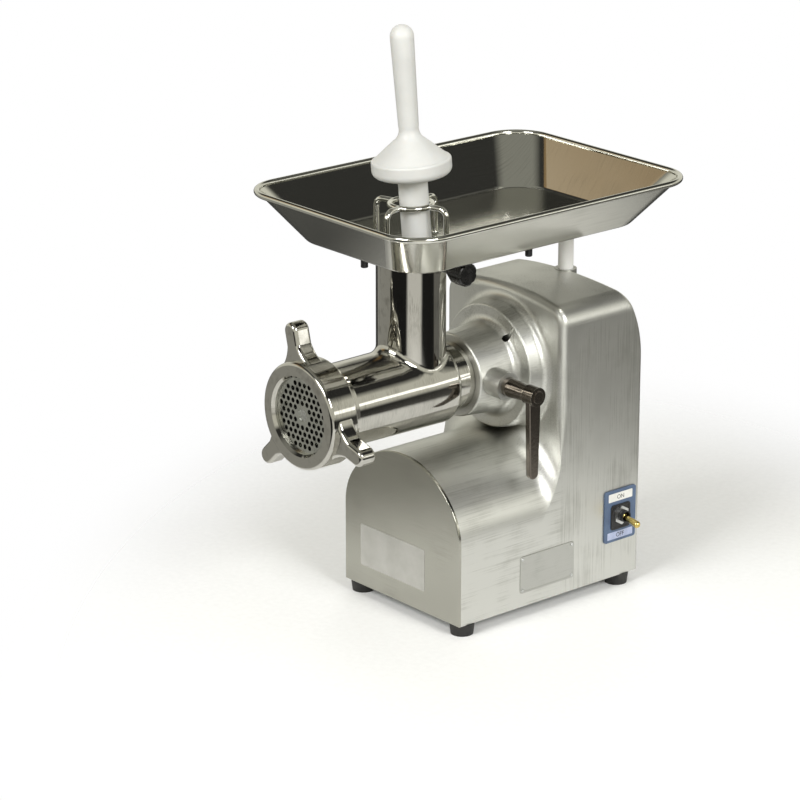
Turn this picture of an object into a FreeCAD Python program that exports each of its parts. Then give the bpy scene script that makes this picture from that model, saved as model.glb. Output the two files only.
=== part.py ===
import FreeCAD, Part
import math
import os

# Bench-top electric meat grinder with a removable grinding head. Lengths are millimetres.
# X runs across the machine, -Y points out of the grinding head, and Z is up from the worktop.
# Y is measured from the face of the motor cover; export() then centres the machine on the origin.

# Fits: pressed on, running, loose in the hand, and clearance holes
PRESS = 0.02
RUN = 0.05
LOOSE = 0.3
HOLE_CLEAR = 0.2

# Cast body
BODY_HALF = 85.0
BODY_DEPTH = 239.5
UPRIGHT_DEPTH = 108.5
WALL = 6.0
FOOT_HEIGHT = 12.0
COVER_T = 3.0
BASE_T = 3.0
UPRIGHT_FRONT = BODY_DEPTH - UPRIGHT_DEPTH
BODY_FLOOR = FOOT_HEIGHT + BASE_T

# Motor, which fills the tunnel in the front of the body
MOTOR_SIDE_ROOM = 19.0
MOTOR_UNDER_ROOM = 18.0
MOTOR_OVER_ROOM = 6.0
BELL_R = BODY_HALF - WALL - MOTOR_SIDE_ROOM
BELL_LIP = 2.0
BELL_WALL = 5.0
BELL_END_T = 6.0
BELL_HUB_R = 30.0
BEARING_SETBACK = 3.0
MOTOR_Z = BODY_FLOOR + MOTOR_UNDER_ROOM + BELL_R
MOTOR_SHAFT_R = 10.0
MOTOR_BEARING_R = 23.5
MOTOR_BEARING_T = 12.0
STATOR_R = BELL_R - BELL_LIP
STATOR_BORE_R = STATOR_R * 0.57
STATOR_SLOTS = 12
STATOR_SLOT_HALF = 3.5
BELL_LENGTH_FRONT = 26.0
BELL_LENGTH_REAR = 33.0
AIR_GAP = 0.5
WINDING_OUTER_R = STATOR_R - 8.0
WINDING_INNER_R = STATOR_BORE_R + 3.0
WINDING_LENGTH = 10.0
WINDING_ROUND = 3.0
FAN_Y = COVER_T + 4.0
FAN_R = BELL_R - 10.0
FAN_HUB_R = 14.0
FAN_DISC_T = 2.0
FAN_T = 10.0
FAN_BLADES = 9
FAN_BLADE_HALF = 1.2
FRONT_BELL_Y = FAN_Y + FAN_T + 3.0
REAR_BELL_Y = UPRIGHT_FRONT + WALL
STATOR_FRONT = FRONT_BELL_Y + BELL_LENGTH_FRONT
STATOR_REAR = REAR_BELL_Y - BELL_LENGTH_REAR

# Two-stage gear train from the motor up to the output shaft
STAGE_1_MODULE = 2.0
STAGE_1_PINION_TEETH = 17
STAGE_1_WHEEL_TEETH = 47
STAGE_2_MODULE = 2.5
STAGE_2_PINION_TEETH = 17
STAGE_2_WHEEL_TEETH = 43
PRESSURE_DEG = 20.0
BACKLASH = 0.35
TOOTH_ABOVE = 0.95
TOOTH_BELOW = 1.25
STAGE_1_T = 18.0
STAGE_2_T = 24.0
STAGE_GAP = 6.0
PLATE_GAP = 5.0
GEAR_PLATE_T = 10.0
LAYSHAFT_Z = MOTOR_Z + STAGE_1_MODULE * (STAGE_1_PINION_TEETH + STAGE_1_WHEEL_TEETH) / 2
AXIS_Z = LAYSHAFT_Z + STAGE_2_MODULE * (STAGE_2_PINION_TEETH + STAGE_2_WHEEL_TEETH) / 2
FRONT_PLATE_Y = UPRIGHT_FRONT + WALL
STAGE_1_Y = FRONT_PLATE_Y + GEAR_PLATE_T + PLATE_GAP
STAGE_2_Y = STAGE_1_Y + STAGE_1_T + STAGE_GAP
REAR_PLATE_Y = STAGE_2_Y + STAGE_2_T + PLATE_GAP
REAR_PLATE_END = REAR_PLATE_Y + GEAR_PLATE_T
GEAR_PLATE_HALF = BODY_HALF - WALL - 3.0
GEAR_PLATE_TOP = AXIS_Z + 54.0
FRONT_PLATE_LOW = MOTOR_Z - 35.0
REAR_PLATE_LOW = LAYSHAFT_Z - 45.0
GEAR_PLATE_CORNER_R = 22.0
PILLAR_R = 7.0
PILLAR_X = GEAR_PLATE_HALF - 12.0
PILLAR_LOW_Z = REAR_PLATE_LOW + 10.0
PILLAR_HIGH_Z = GEAR_PLATE_TOP - 14.0
WHEEL_RIM = 9.0
WHEEL_HUB = 8.0
WHEEL_GROOVE_SHARE = 0.3
LAYSHAFT_R = 8.5
LAYSHAFT_BEARING_R = 20.0
OUTPUT_R = 17.5
OUTPUT_TAIL_R = 12.5
OUTPUT_HUB_R = 22.0
OUTPUT_BEARING_R = 31.0
OUTPUT_BEARING_T = 14.0
TAIL_BEARING_R = 26.0
SEAL_T = 4.0

# Outline of the body round the motor and the gears
TUNNEL_SPRING_Z = MOTOR_Z + 1.0
TUNNEL_RISE = BELL_R + MOTOR_OVER_ROOM + WALL
TUNNEL_SIDE_R = TUNNEL_RISE - 14.0
SHOULDER_Z = AXIS_Z + 53.0
ROOF_RISE = 26.0
SHOULDER_R = 20.0
REAR_LEAN_Z = SHOULDER_Z - 50.0
REAR_LEAN_R = 115.0
FRONT_EDGE_R = 8.0
FRONT_EDGE_RUNOUT = 42.0
REAR_EDGE_R = 6.0
SADDLE_R = 24.0
SADDLE_SINK = 3.0
REAR_COVER_T = 3.0
REAR_COVER_HALF = BODY_HALF - 19.0
REAR_COVER_LOW = FOOT_HEIGHT + 18.0
REAR_COVER_HIGH = REAR_LEAN_Z - 9.0
REAR_COVER_LAP = 9.0
REAR_COVER_CORNER_R = 10.0
REAR_FACE = BODY_DEPTH + REAR_COVER_T

# Neck that holds the head
SPIGOT_R = 32.0
SOCKET_R = SPIGOT_R + LOOSE
NECK_LENGTH = 66.0
NECK_MOUTH = UPRIGHT_FRONT - NECK_LENGTH
NECK_MOUTH_R = SOCKET_R + 9.2
NECK_ROOT = NECK_MOUTH + 37.0
NECK_ROOT_R = NECK_MOUTH_R + 3.0
NECK_STEP_R = 8.0
NECK_LIP_R = 2.0
FLARE_R = NECK_ROOT_R + 17.5
FLARE_REAR_R = FLARE_R + 2.0
FLARE_FILLET_R = 9.0
SOCKET_END = UPRIGHT_FRONT - SEAL_T - OUTPUT_BEARING_T
SET_HOLE_R = 3.4
SET_HOLE_Y = NECK_ROOT + 5.0
SET_HOLE_DEG = 50.0

# Plate, knife, auger and their drive
PLATE_R = 41.0
PLATE_T = 9.0
PLATE_HOLE_R = 2.4
PLATE_HOLE_PITCH = 6.9
PLATE_RIM = 5.0
PLATE_HUB = 3.5
KNIFE_R = PLATE_R - 3.0
KNIFE_T = 11.0
KNIFE_BLADE_W = 15.0
KNIFE_EDGE_T = 2.0
KNIFE_HEEL_T = 9.0
AUGER_R = PLATE_R - 7.6
AUGER_PITCH = 36.0
AUGER_CORE_FRONT_R = 19.0
AUGER_CORE_REAR_R = 14.0
FLIGHT_ROOT_T = 9.0
FLIGHT_TIP_T = 4.5
TANG = 20.0
TANG_LENGTH = 13.0
STUB = 14.0
PIN_R = 6.0
JOURNAL_R = 18.0
BUSH_T = 3.0
WASHER_R = 24.0
WASHER_T = 2.0

# Grinding head, with its mouth in front and its feed tube on top
BARREL_BORE_R = AUGER_R + 0.6
BARREL_FRONT_R = BARREL_BORE_R + 6.6
COLLAR_R = SPIGOT_R + 1.6
COLLAR_STEP = 8.0
BARREL_REAR_R = max(BARREL_BORE_R + 4.4, COLLAR_R + COLLAR_STEP)
BARREL_REAR = NECK_MOUTH - 21.0
CHAMBER_END = BARREL_REAR - 3.0
CHAMBER_TAPER = 4.0
FEED_Y = NECK_MOUTH - 52.7
BARREL_FRONT = FEED_Y - 129.3
PLATE_SEAT_R = PLATE_R + 0.5
PLATE_SEAT_END = BARREL_FRONT + 19.0
THREAD_R = PLATE_SEAT_R + 4.5
THREAD_END = BARREL_FRONT + 23.0
SPIGOT_END = SOCKET_END - 5.0
OUTPUT_HUB_FRONT = SPIGOT_END - 14.0
JOURNAL_END = OUTPUT_HUB_FRONT - 3.0
FEED_BORE_R = 30.0
FEED_R = FEED_BORE_R + 3.5
FEED_TOP = AXIS_Z + 142.0
FEED_BEAD_R = FEED_R + 3.0
FEED_BEAD_H = 9.0
FEED_BEAD_ROUND = 2.0
FEED_FILLET_R = 9.0
KEY_R = 2.0
KEY_REACH = 3.0
KEY_SETBACK = 4.0

# Ring nut
RING_R = THREAD_R + 6.0
RING_LENGTH = 32.0
RING_FRONT = BARREL_FRONT - 10.0
RING_REAR = RING_FRONT + RING_LENGTH
RING_LIP = 5.8
RING_MOUTH_R = PLATE_R - 4.0
RING_MOUTH_BEVEL = 3.0
RING_FRONT_ROUND = 4.0
RING_REAR_ROUND = 3.0
LUG_TIP_R = RING_R + 36.0
LUG_HALF = 8.5
LUG_ROOT_HALF = 21.0
LUG_WAIST = 14.0
LUG_SINK = 4.0
LUG_T = 19.0
LUG_EDGE_R = 4.0
LUG_DEG = 104.0
LUG_COUNT = 3
PLATE_FRONT = RING_FRONT + RING_LIP + HOLE_CLEAR
KNIFE_FRONT = PLATE_FRONT + PLATE_T + HOLE_CLEAR
KNIFE_BACK = KNIFE_FRONT + KNIFE_T

# Feed pan, guard and the post under the pan
PAN_T = 1.5
PAN_HALF = 129.0
PAN_FRONT = FEED_Y - 108.3
PAN_BACK = FEED_Y + 255.7
PAN_FLOOR_Z = FEED_TOP + PAN_T
PAN_RIM_Z = PAN_FLOOR_Z + 47.0
PAN_RIM_R = 3.0
PAN_RIM_CORNER_R = 42.0
PAN_FLOOR_HALF = PAN_HALF - 40.5
PAN_FLOOR_FRONT = PAN_FRONT + 36.0
PAN_FLOOR_BACK = PAN_BACK - 34.0
PAN_FLOOR_CORNER_R = 37.0
PAN_FOLD_R = 5.0
SLEEVE_R = FEED_BORE_R - LOOSE
SLEEVE_T = 1.5
SLEEVE_LENGTH = 24.0
PEG_R = 3.5
PEG_H = 12.5
PEG_ROUND = 1.0
PEG_SIDE_X = PAN_FLOOR_HALF - 16.5
PEG_SIDE_Y = FEED_Y + 84.7
PEG_FRONT_Y = PAN_FLOOR_FRONT + 15.0
POST_R = 7.6
POST_Y = BODY_DEPTH - 26.5
POST_PAD_R = 11.0
POST_PAD_Z = SHOULDER_Z + ROOF_RISE + 0.5

# Pusher, which leans against the ring of the guard
PUSHER_SHANK_R = 14.0
GUARD_WIRE_R = 2.75
GUARD_RING_R = PUSHER_SHANK_R + GUARD_WIRE_R + 3.45
GUARD_Z = PAN_FLOOR_Z + 37.3
GUARD_LEG_R = GUARD_RING_R + 19.8
GUARD_BEND_R = 8.0
GUARD_LEG_DEG = 15.0
GUARD_LEGS = 4
PUSHER_TOP = GUARD_Z + 172.2
PUSHER_TIP = GUARD_Z - 112.8
PUSHER_BLUNT = 4.0
PUSHER_FLANGE_Z = GUARD_Z + 28.2
PUSHER_FLANGE_R = PUSHER_SHANK_R + 24.0
PUSHER_FLANGE_EDGE = 7.0
PUSHER_FLANGE_SIDE = 7.0
PUSHER_FLANGE_BROW = 2.5
PUSHER_CONE_R = 16.0
PUSHER_CONE_H = 17.0
PUSHER_NECK_H = 14.0
PUSHER_GRIP_R = 9.7
PUSHER_GRIP_TOP_R = 11.3
PUSHER_LEAN_DEG = 4.2
PUSHER_LEAN_HEADING_DEG = 229.7

# Thumb knob that clamps the pan's sleeve, and lever that clamps the head's spigot
KNOB_BOSS_R = 8.0
KNOB_BOSS_X = FEED_R + 6.5
KNOB_X = KNOB_BOSS_X + 15.0
KNOB_LENGTH = 27.0
KNOB_R = 11.5
KNOB_ROOT_R = 5.0
KNOB_ROUND = 2.5
KNOB_FLUTES = 6
KNOB_FLUTE_R = 3.2
KNOB_SCREW_R = 3.0
KNOB_Z = FEED_TOP - KNOB_R - 1.0
CLAMP_Y = NECK_MOUTH + 17.0
CLAMP_BOSS_R = 14.0
CLAMP_BOSS_X = NECK_MOUTH_R + 20.5
CLAMP_SCREW_R = 6.0
CLAMP_COLLAR_R = 9.5
CLAMP_COLLAR_T = 5.0
LEVER_X = BODY_HALF + 5.0
LEVER_HUB_T = 14.0
LEVER_HUB_R = 9.5
LEVER_T = 7.0
LEVER_LENGTH = 84.0
LEVER_TIP_R = 5.5
LEVER_EDGE_R = 1.5

# Switch and capacitor
SWITCH_W = 42.0
SWITCH_H = 54.0
SWITCH_BACK = BODY_DEPTH - 7.5
SWITCH_LOW = FOOT_HEIGHT + 38.0
SWITCH_PLATE_T = 1.5
SWITCH_CORNER_R = 3.0
SWITCH_BUSH_R = 6.0
SWITCH_BUSH_WALL = 1.2
SWITCH_NUT_AF = 17.0
SWITCH_NUT_T = 3.0
SWITCH_BUSH_PROUD = 9.0
SWITCH_BODY_DEPTH = 27.0
SWITCH_BODY_W = 26.0
SWITCH_BODY_H = 30.0
TOGGLE_R = 2.5
TOGGLE_TIP_R = 3.6
TOGGLE_FLAT_R = 0.8
TOGGLE_LENGTH = 19.0
TOGGLE_SINK = 4.0
TOGGLE_DEG = 12.0
CAPACITOR_W = 46.0
CAPACITOR_DEPTH = 44.0
CAPACITOR_H = 32.0
CAPACITOR_X = WALL + MOTOR_SIDE_ROOM - BODY_HALF
CAPACITOR_Y = UPRIGHT_FRONT + 21.0
CAPACITOR_ROUND = 3.0
TAB_HALF = 3.0
TAB_T = 0.8
TAB_H = 7.0

# Feet, base and fixings
FOOT_X = BODY_HALF - 11.0
FOOT_FRONT = 14.0
FOOT_REAR = BODY_DEPTH - 20.5
FOOT_R = 12.5
FOOT_BASE_R = 11.0
FOOT_RECESS_R = 6.0
FOOT_RECESS_H = 6.0
FOOT_SCREW_R = 2.5
FOOT_SCREW_HEAD_R = 5.0
FOOT_SCREW_HEAD_T = 3.0
BOSS_R = 6.5
BOSS_H = 24.0
BOSS_X = BODY_HALF - WALL - 5.5
BOSS_INSET = 46.0
PLATE_SCREW_R = 2.0
PLATE_SCREW_HEAD_R = 4.0
PLATE_SCREW_HEAD_T = 2.4
STUD_R = 3.0
STUD_NUT_AF = 10.0
STUD_NUT_T = 5.0
EAR_R = 8.5
EAR_LENGTH = 10.0
EAR_INSET = WALL + STUD_NUT_AF * 0.58 + HOLE_CLEAR + LOOSE
STUD_LENGTH = EAR_LENGTH + STUD_NUT_T + 2.0
EAR_LOW_Z = FOOT_HEIGHT + 22.0
EAR_ARCH_DEG = 57.0
VENT_COUNT = 6
VENT_PITCH = 14.0
VENT_LENGTH = 60.0
VENT_HALF = 2.5
GLAND_X = 24.0 - REAR_COVER_HALF
GLAND_Z = REAR_COVER_LOW + 24.0
GLAND_AF = 19.8
GLAND_NUT_T = 5.6
GLAND_DOME_R = 9.35
GLAND_TIP_R = 6.8
GLAND_NOSE_R = 8.5
GLAND_BORE_R = 4.2
GLAND_OUTSIDE = 14.0
GLAND_INSIDE = 12.0

DEPTH_CENTRE = (RING_FRONT + PAN_BACK) / 2
# Share of a radius between a round corner's arc and the corner it replaces, along each axis
QUARTER = 1 - math.sqrt(0.5)
X_DIR = FreeCAD.Vector(1, 0, 0)
Y_DIR = FreeCAD.Vector(0, 1, 0)
Z_DIR = FreeCAD.Vector(0, 0, 1)
SIDES = (-1, 1)


def point(x, y, z):
    return FreeCAD.Vector(x, y, z)


def box(x0, x1, y0, y1, z0, z1):
    return Part.makeBox(x1 - x0, y1 - y0, z1 - z0, point(x0, y0, z0))


def rod(radius, start, end):
    return Part.makeCylinder(radius, (end - start).Length, start, end - start)


def taper(radius_start, radius_end, start, end):
    return Part.makeCone(radius_start, radius_end, (end - start).Length, start, end - start)


def y_rod(radius, y0, y1, z, x=0.0):
    return rod(radius, point(x, y0, z), point(x, y1, z))


def y_ring(outer, inner, y0, y1, z):
    return y_rod(outer, y0, y1, z).cut(y_rod(inner, y0 - 1, y1 + 1, z))


def turned(outline, z=AXIS_Z):
    """Revolve a closed outline about the line x = 0 at height z.

    A corner is (y, radius). Two more numbers are a point (y, radius) on the arc that leads to it.
    """
    edges = []
    last = outline[-1]
    for corner in outline:
        start = point(0, last[0], z + last[1])
        end = point(0, corner[0], z + corner[1])
        if len(corner) == 4:
            edges.append(Part.Arc(start, point(0, corner[2], z + corner[3]), end).toShape())
        else:
            edges.append(Part.LineSegment(start, end).toShape())
        last = corner
    return Part.Face(Part.Wire(edges)).revolve(point(0, 0, z), Y_DIR, 360)


def hexagon(across_flats, length, start, direction):
    """A hexagonal bar along a coordinate axis."""
    corner_r = across_flats / math.sqrt(3)
    corners = []
    for step in range(7):
        angle = math.radians(60 * step)
        corners.append(point(corner_r * math.cos(angle), corner_r * math.sin(angle), 0))
    bar = Part.Face(Part.makePolygon(corners)).extrude(Z_DIR * length)
    turn = FreeCAD.Rotation(Z_DIR, direction)
    bar.Placement = FreeCAD.Placement(start, turn)
    return bar


def soften(shape, radius, chosen):
    return shape.makeFillet(radius, [edge for edge in shape.Edges if chosen(edge)])


def mirrored_pair(shape):
    return [shape, shape.mirror(point(0, 0, 0), X_DIR)]


def one_solid(shape):
    return shape.removeSplitter().Solids[0]


def export(name, *shapes):
    """Write one node, centred on the machine's depth."""
    solids = [solid for shape in shapes for solid in shape.Solids]
    node = solids[0] if len(solids) == 1 else Part.makeCompound(solids)
    node = node.copy()
    node.translate(point(0, -DEPTH_CENTRE, 0))
    node.exportStep("parts/" + name + ".step")


def three_centred(half, spring_z, rise, side_r):
    """An arch of two side arcs and a crown: (side centre, crown centre, crown radius, tangent point)."""
    crown_r = ((half - side_r) ** 2 + rise ** 2 - side_r ** 2) / (2 * (rise - side_r))
    side = point(half - side_r, 0, spring_z)
    crown = point(0, 0, spring_z + rise - crown_r)
    tangent = crown + (side - crown).normalize() * crown_r
    return side, crown, crown_r, tangent


def arch_face(half, base_z, spring_z, rise, side_r):
    """An upright outline in the XZ plane with straight sides and a three-centred top."""
    side, crown, crown_r, tangent = three_centred(half, spring_z, rise, side_r)
    along = (tangent - side).normalize()
    middle = (along + X_DIR).normalize() * side_r + side
    def left(p):
        return point(-p.x, p.y, p.z)
    foot = point(half, 0, base_z)
    spring = point(half, 0, spring_z)
    top = point(0, 0, spring_z + rise)
    edges = [
        Part.LineSegment(left(foot), foot).toShape(),
        Part.LineSegment(foot, spring).toShape(),
        Part.Arc(spring, middle, tangent).toShape(),
        Part.Arc(tangent, top, left(tangent)).toShape(),
        Part.Arc(left(tangent), left(middle), left(spring)).toShape(),
        Part.LineSegment(left(spring), left(foot)).toShape(),
    ]
    return Part.Face(Part.Wire(edges))


def along_y(face, y0, y1):
    solid = face.extrude(Y_DIR * (y1 - y0))
    solid.translate(point(0, y0, 0))
    return solid


def tunnel(inset, y0, y1, base_z):
    face = arch_face(BODY_HALF - inset, base_z, TUNNEL_SPRING_Z, TUNNEL_RISE - inset, TUNNEL_SIDE_R - inset)
    return along_y(face, y0, y1)


def upright(inset, base_z):
    """The tall rear of the body: a shouldered outline whose back leans forward near the top."""
    front = UPRIGHT_FRONT + inset
    rear = BODY_DEPTH - inset
    top_z = SHOULDER_Z + ROOF_RISE
    outline = arch_face(BODY_HALF - inset, base_z, SHOULDER_Z, ROOF_RISE - inset, SHOULDER_R - inset)
    block = along_y(outline, front, rear)
    lean_r = REAR_LEAN_R - inset
    centre_y = BODY_DEPTH - REAR_LEAN_R
    above_z = top_z + 1
    def on_lean(z):
        return point(0, centre_y + math.sqrt(lean_r ** 2 - (z - REAR_LEAN_Z) ** 2), z)
    corners = [point(0, front, base_z), point(0, rear, base_z), point(0, rear, REAR_LEAN_Z)]
    lean = Part.Arc(corners[2], on_lean((REAR_LEAN_Z + above_z) / 2), on_lean(above_z))
    edges = [
        Part.LineSegment(corners[0], corners[1]).toShape(),
        Part.LineSegment(corners[1], corners[2]).toShape(),
        lean.toShape(),
        Part.LineSegment(on_lean(above_z), point(0, front, above_z)).toShape(),
        Part.LineSegment(point(0, front, above_z), corners[0]).toShape(),
    ]
    side_view = Part.Face(Part.Wire(edges)).extrude(X_DIR * (2 * BODY_HALF))
    side_view.translate(point(-BODY_HALF, 0, 0))
    return block.common(side_view)


def rounded_upright(base_z):
    """The upright with its front outline, rear corners and rear roof line rounded."""
    block = upright(0, base_z)
    low_z = base_z + 1
    def on_front(edge):
        return edge.BoundBox.ZMax > low_z and edge.BoundBox.YMax < UPRIGHT_FRONT + 0.01
    def on_rear(edge):
        bounds = edge.BoundBox
        lean_line = bounds.YLength < 0.01 and abs(bounds.ZMax - REAR_LEAN_Z) < 0.01
        return bounds.ZMax > low_z and bounds.YMin > UPRIGHT_FRONT + FRONT_EDGE_R + 1 and not lean_line
    return soften(soften(block, FRONT_EDGE_R, on_front), REAR_EDGE_R, on_rear)


def saddle():
    """The concave sweep that carries the tunnel's crown up into the front of the upright."""
    side, crown, crown_r, tangent = three_centred(BODY_HALF, TUNNEL_SPRING_Z, TUNNEL_RISE, TUNNEL_SIDE_R)
    swing = math.degrees(math.atan2(tangent.z - side.z, tangent.x - side.x))
    back = UPRIGHT_FRONT + FRONT_EDGE_R + 1
    start = UPRIGHT_FRONT - SADDLE_R
    half_turn = math.radians(45)
    def swept(centre, arc_r, from_deg, to_deg):
        low = point(arc_r, start, 0)
        high = point(arc_r + SADDLE_R, UPRIGHT_FRONT, 0)
        mid = point(high.x - SADDLE_R * math.cos(half_turn), start + SADDLE_R * math.sin(half_turn), 0)
        inner = arc_r - SADDLE_SINK
        edges = [
            Part.Arc(low, mid, high).toShape(),
            Part.LineSegment(high, point(high.x, back, 0)).toShape(),
            Part.LineSegment(point(high.x, back, 0), point(inner, back, 0)).toShape(),
            Part.LineSegment(point(inner, back, 0), point(inner, start, 0)).toShape(),
            Part.LineSegment(point(inner, start, 0), low).toShape(),
        ]
        section = Part.Face(Part.Wire(edges))
        section.rotate(point(0, 0, 0), Y_DIR, -from_deg)
        section.translate(centre)
        return section.revolve(centre, -Y_DIR, to_deg - from_deg)
    right = swept(side, TUNNEL_SIDE_R, 0, swing)
    middle = swept(crown, crown_r, swing, 180 - swing)
    whole = middle.fuse(mirrored_pair(right))
    room = box(-BODY_HALF, BODY_HALF, start - 1, back + 1, TUNNEL_SPRING_Z, SHOULDER_Z)
    return whole.common(room)


def edge_runout():
    """Corners above the saddle where the round of the upright's front edges runs out to a sharp edge."""
    low_z = TUNNEL_SPRING_Z + math.sqrt((TUNNEL_SIDE_R + SADDLE_R) ** 2 - TUNNEL_SIDE_R ** 2)
    high_z = low_z + FRONT_EDGE_RUNOUT
    inner_x = BODY_HALF - FRONT_EDGE_R
    back = UPRIGHT_FRONT + FRONT_EDGE_R
    tip = Part.Vertex(point(BODY_HALF, UPRIGHT_FRONT, low_z))
    circle = Part.Wire(Part.Circle(point(inner_x, back, high_z), Z_DIR, FRONT_EDGE_R).toShape())
    square = Part.makePolygon([
        point(inner_x, UPRIGHT_FRONT, high_z), point(BODY_HALF, UPRIGHT_FRONT, high_z),
        point(BODY_HALF, back, high_z), point(inner_x, back, high_z), point(inner_x, UPRIGHT_FRONT, high_z),
    ])
    sharp = Part.makeLoft([tip, square], True, True)
    rounded = Part.makeLoft([tip, circle], True)
    corner = box(inner_x, BODY_HALF, UPRIGHT_FRONT, back, low_z, high_z)
    return mirrored_pair(corner.cut(sharp.cut(rounded)))


def neck_outside():
    """The stepped socket on the front of the upright that grips the head's spigot."""
    buried = UPRIGHT_FRONT + WALL
    step_end = NECK_ROOT + NECK_STEP_R
    step_end_r = NECK_ROOT_R + NECK_STEP_R
    flare_foot = UPRIGHT_FRONT - FLARE_FILLET_R
    flare_end_r = FLARE_REAR_R + FLARE_FILLET_R
    lip = NECK_LIP_R * QUARTER
    step = NECK_STEP_R * QUARTER
    sweep = FLARE_FILLET_R * QUARTER
    return turned([
        (NECK_MOUTH, 0),
        (NECK_MOUTH, NECK_MOUTH_R - NECK_LIP_R),
        (NECK_MOUTH + NECK_LIP_R, NECK_MOUTH_R, NECK_MOUTH + lip, NECK_MOUTH_R - lip),
        (NECK_ROOT, NECK_ROOT_R),
        (step_end, step_end_r, step_end - step, NECK_ROOT_R + step),
        (step_end, FLARE_R - NECK_LIP_R),
        (step_end + NECK_LIP_R, FLARE_R, step_end + lip, FLARE_R - lip),
        (flare_foot, FLARE_REAR_R),
        (UPRIGHT_FRONT, flare_end_r, UPRIGHT_FRONT - sweep, FLARE_REAR_R + sweep),
        (buried, flare_end_r),
        (buried, 0),
    ])


def clamp_boss():
    inside_wall = (SOCKET_R + NECK_MOUTH_R) / 2
    return rod(CLAMP_BOSS_R, point(inside_wall, CLAMP_Y, AXIS_Z), point(CLAMP_BOSS_X, CLAMP_Y, AXIS_Z))


def boss_places():
    rows = (BOSS_INSET, BODY_DEPTH / 2, BODY_DEPTH - BOSS_INSET)
    return [(side * BOSS_X, y) for side in SIDES for y in rows]


def ear_places():
    """Two ears low on the tunnel's walls and two on its arch, for the studs of the front cover."""
    angle = math.radians(EAR_ARCH_DEG)
    reach = TUNNEL_SIDE_R - EAR_INSET
    arch_x = BODY_HALF - TUNNEL_SIDE_R + reach * math.cos(angle)
    arch_z = TUNNEL_SPRING_Z + reach * math.sin(angle)
    places = ((BODY_HALF - EAR_INSET, EAR_LOW_Z), (arch_x, arch_z))
    return [(side * x, z) for side in SIDES for x, z in places]


def rounded_plate(half, low, high, corner_r, y0, y1):
    plate = box(-half, half, y0, y1, low, high)
    return soften(plate, corner_r, lambda edge: edge.BoundBox.YLength > y1 - y0 - 0.01
                  and edge.BoundBox.DiagonalLength < y1 - y0 + 0.01)


def switch_centre():
    return SWITCH_BACK - SWITCH_W / 2, SWITCH_LOW + SWITCH_H / 2


def main_housing():
    body = tunnel(0, COVER_T, UPRIGHT_FRONT + FRONT_EDGE_R + 1, FOOT_HEIGHT)
    pad = rod(POST_PAD_R, point(0, POST_Y, SHOULDER_Z), point(0, POST_Y, POST_PAD_Z))
    body = body.fuse([rounded_upright(FOOT_HEIGHT), saddle(), neck_outside(), clamp_boss(), pad])
    body = body.fuse(edge_runout())
    open_z = FOOT_HEIGHT - 1
    hollow = tunnel(WALL, COVER_T - 1, BODY_DEPTH - WALL, open_z).fuse(upright(WALL, open_z))
    body = body.cut(hollow)
    bosses = []
    for x, y in boss_places():
        bosses.append(rod(BOSS_R, point(x, y, BODY_FLOOR), point(x, y, BODY_FLOOR + BOSS_H)))
    for x, z in ear_places():
        bosses.append(y_rod(EAR_R, COVER_T, COVER_T + EAR_LENGTH, z, x))
    body = body.fuse(bosses)
    cuts = [
        y_rod(SOCKET_R, NECK_MOUTH - 1, SOCKET_END, AXIS_Z),
        y_rod(OUTPUT_BEARING_R + PRESS, SOCKET_END - 1, SOCKET_END + SEAL_T + OUTPUT_BEARING_T, AXIS_Z),
        y_rod(OUTPUT_BEARING_R - 5, SOCKET_END, UPRIGHT_FRONT + WALL + 1, AXIS_Z),
        rod(CLAMP_SCREW_R + HOLE_CLEAR, point(0, CLAMP_Y, AXIS_Z), point(CLAMP_BOSS_X + 1, CLAMP_Y, AXIS_Z)),
        rounded_plate(REAR_COVER_HALF - REAR_COVER_LAP, REAR_COVER_LOW + REAR_COVER_LAP,
                           REAR_COVER_HIGH - REAR_COVER_LAP, REAR_COVER_CORNER_R,
                           BODY_DEPTH - WALL - 1, BODY_DEPTH + 1),
    ]
    tilt = math.radians(SET_HOLE_DEG)
    outward = point(math.cos(tilt), 0, math.sin(tilt))
    seat = point(0, SET_HOLE_Y, AXIS_Z)
    cuts.append(rod(SET_HOLE_R, seat + outward * (SOCKET_R + 2), seat + outward * (FLARE_R + 20)))
    switch_y, switch_z = switch_centre()
    cuts.append(rod(SWITCH_BUSH_R + HOLE_CLEAR, point(BODY_HALF - WALL - 1, switch_y, switch_z),
                    point(BODY_HALF + 1, switch_y, switch_z)))
    for x, y in boss_places():
        cuts.append(rod(PLATE_SCREW_R + HOLE_CLEAR, point(x, y, FOOT_HEIGHT),
                        point(x, y, FOOT_HEIGHT + BOSS_H)))
    for x, z in ear_places():
        cuts.append(y_rod(STUD_R + HOLE_CLEAR, 0, COVER_T + EAR_LENGTH + 1, z, x))
    for x, z in rear_screw_places():
        cuts.append(y_rod(PLATE_SCREW_R + HOLE_CLEAR, BODY_DEPTH - WALL - 1, BODY_DEPTH + 1, z, x))
    return one_solid(body.cut(cuts))


def front_cover():
    """Flat arched plate that closes the motor tunnel, with studs welded to its back."""
    plate = tunnel(0, 0, COVER_T, FOOT_HEIGHT)
    plate = soften(plate, COVER_T / 3, lambda edge: edge.BoundBox.YMax < 0.01)
    studs = [y_rod(STUD_R, COVER_T - 1, COVER_T + STUD_LENGTH, z, x) for x, z in ear_places()]
    return one_solid(plate.fuse(studs))


def front_cover_nuts():
    nuts = []
    for x, z in ear_places():
        y = COVER_T + EAR_LENGTH
        nut = hexagon(STUD_NUT_AF, STUD_NUT_T, point(x, y, z), Y_DIR)
        nuts.append(nut.cut(y_rod(STUD_R + RUN, y - 1, y + STUD_NUT_T + 1, z, x)))
    return nuts


def foot_places():
    return [(side * FOOT_X, y) for y in (FOOT_FRONT, FOOT_REAR) for side in SIDES]


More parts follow.
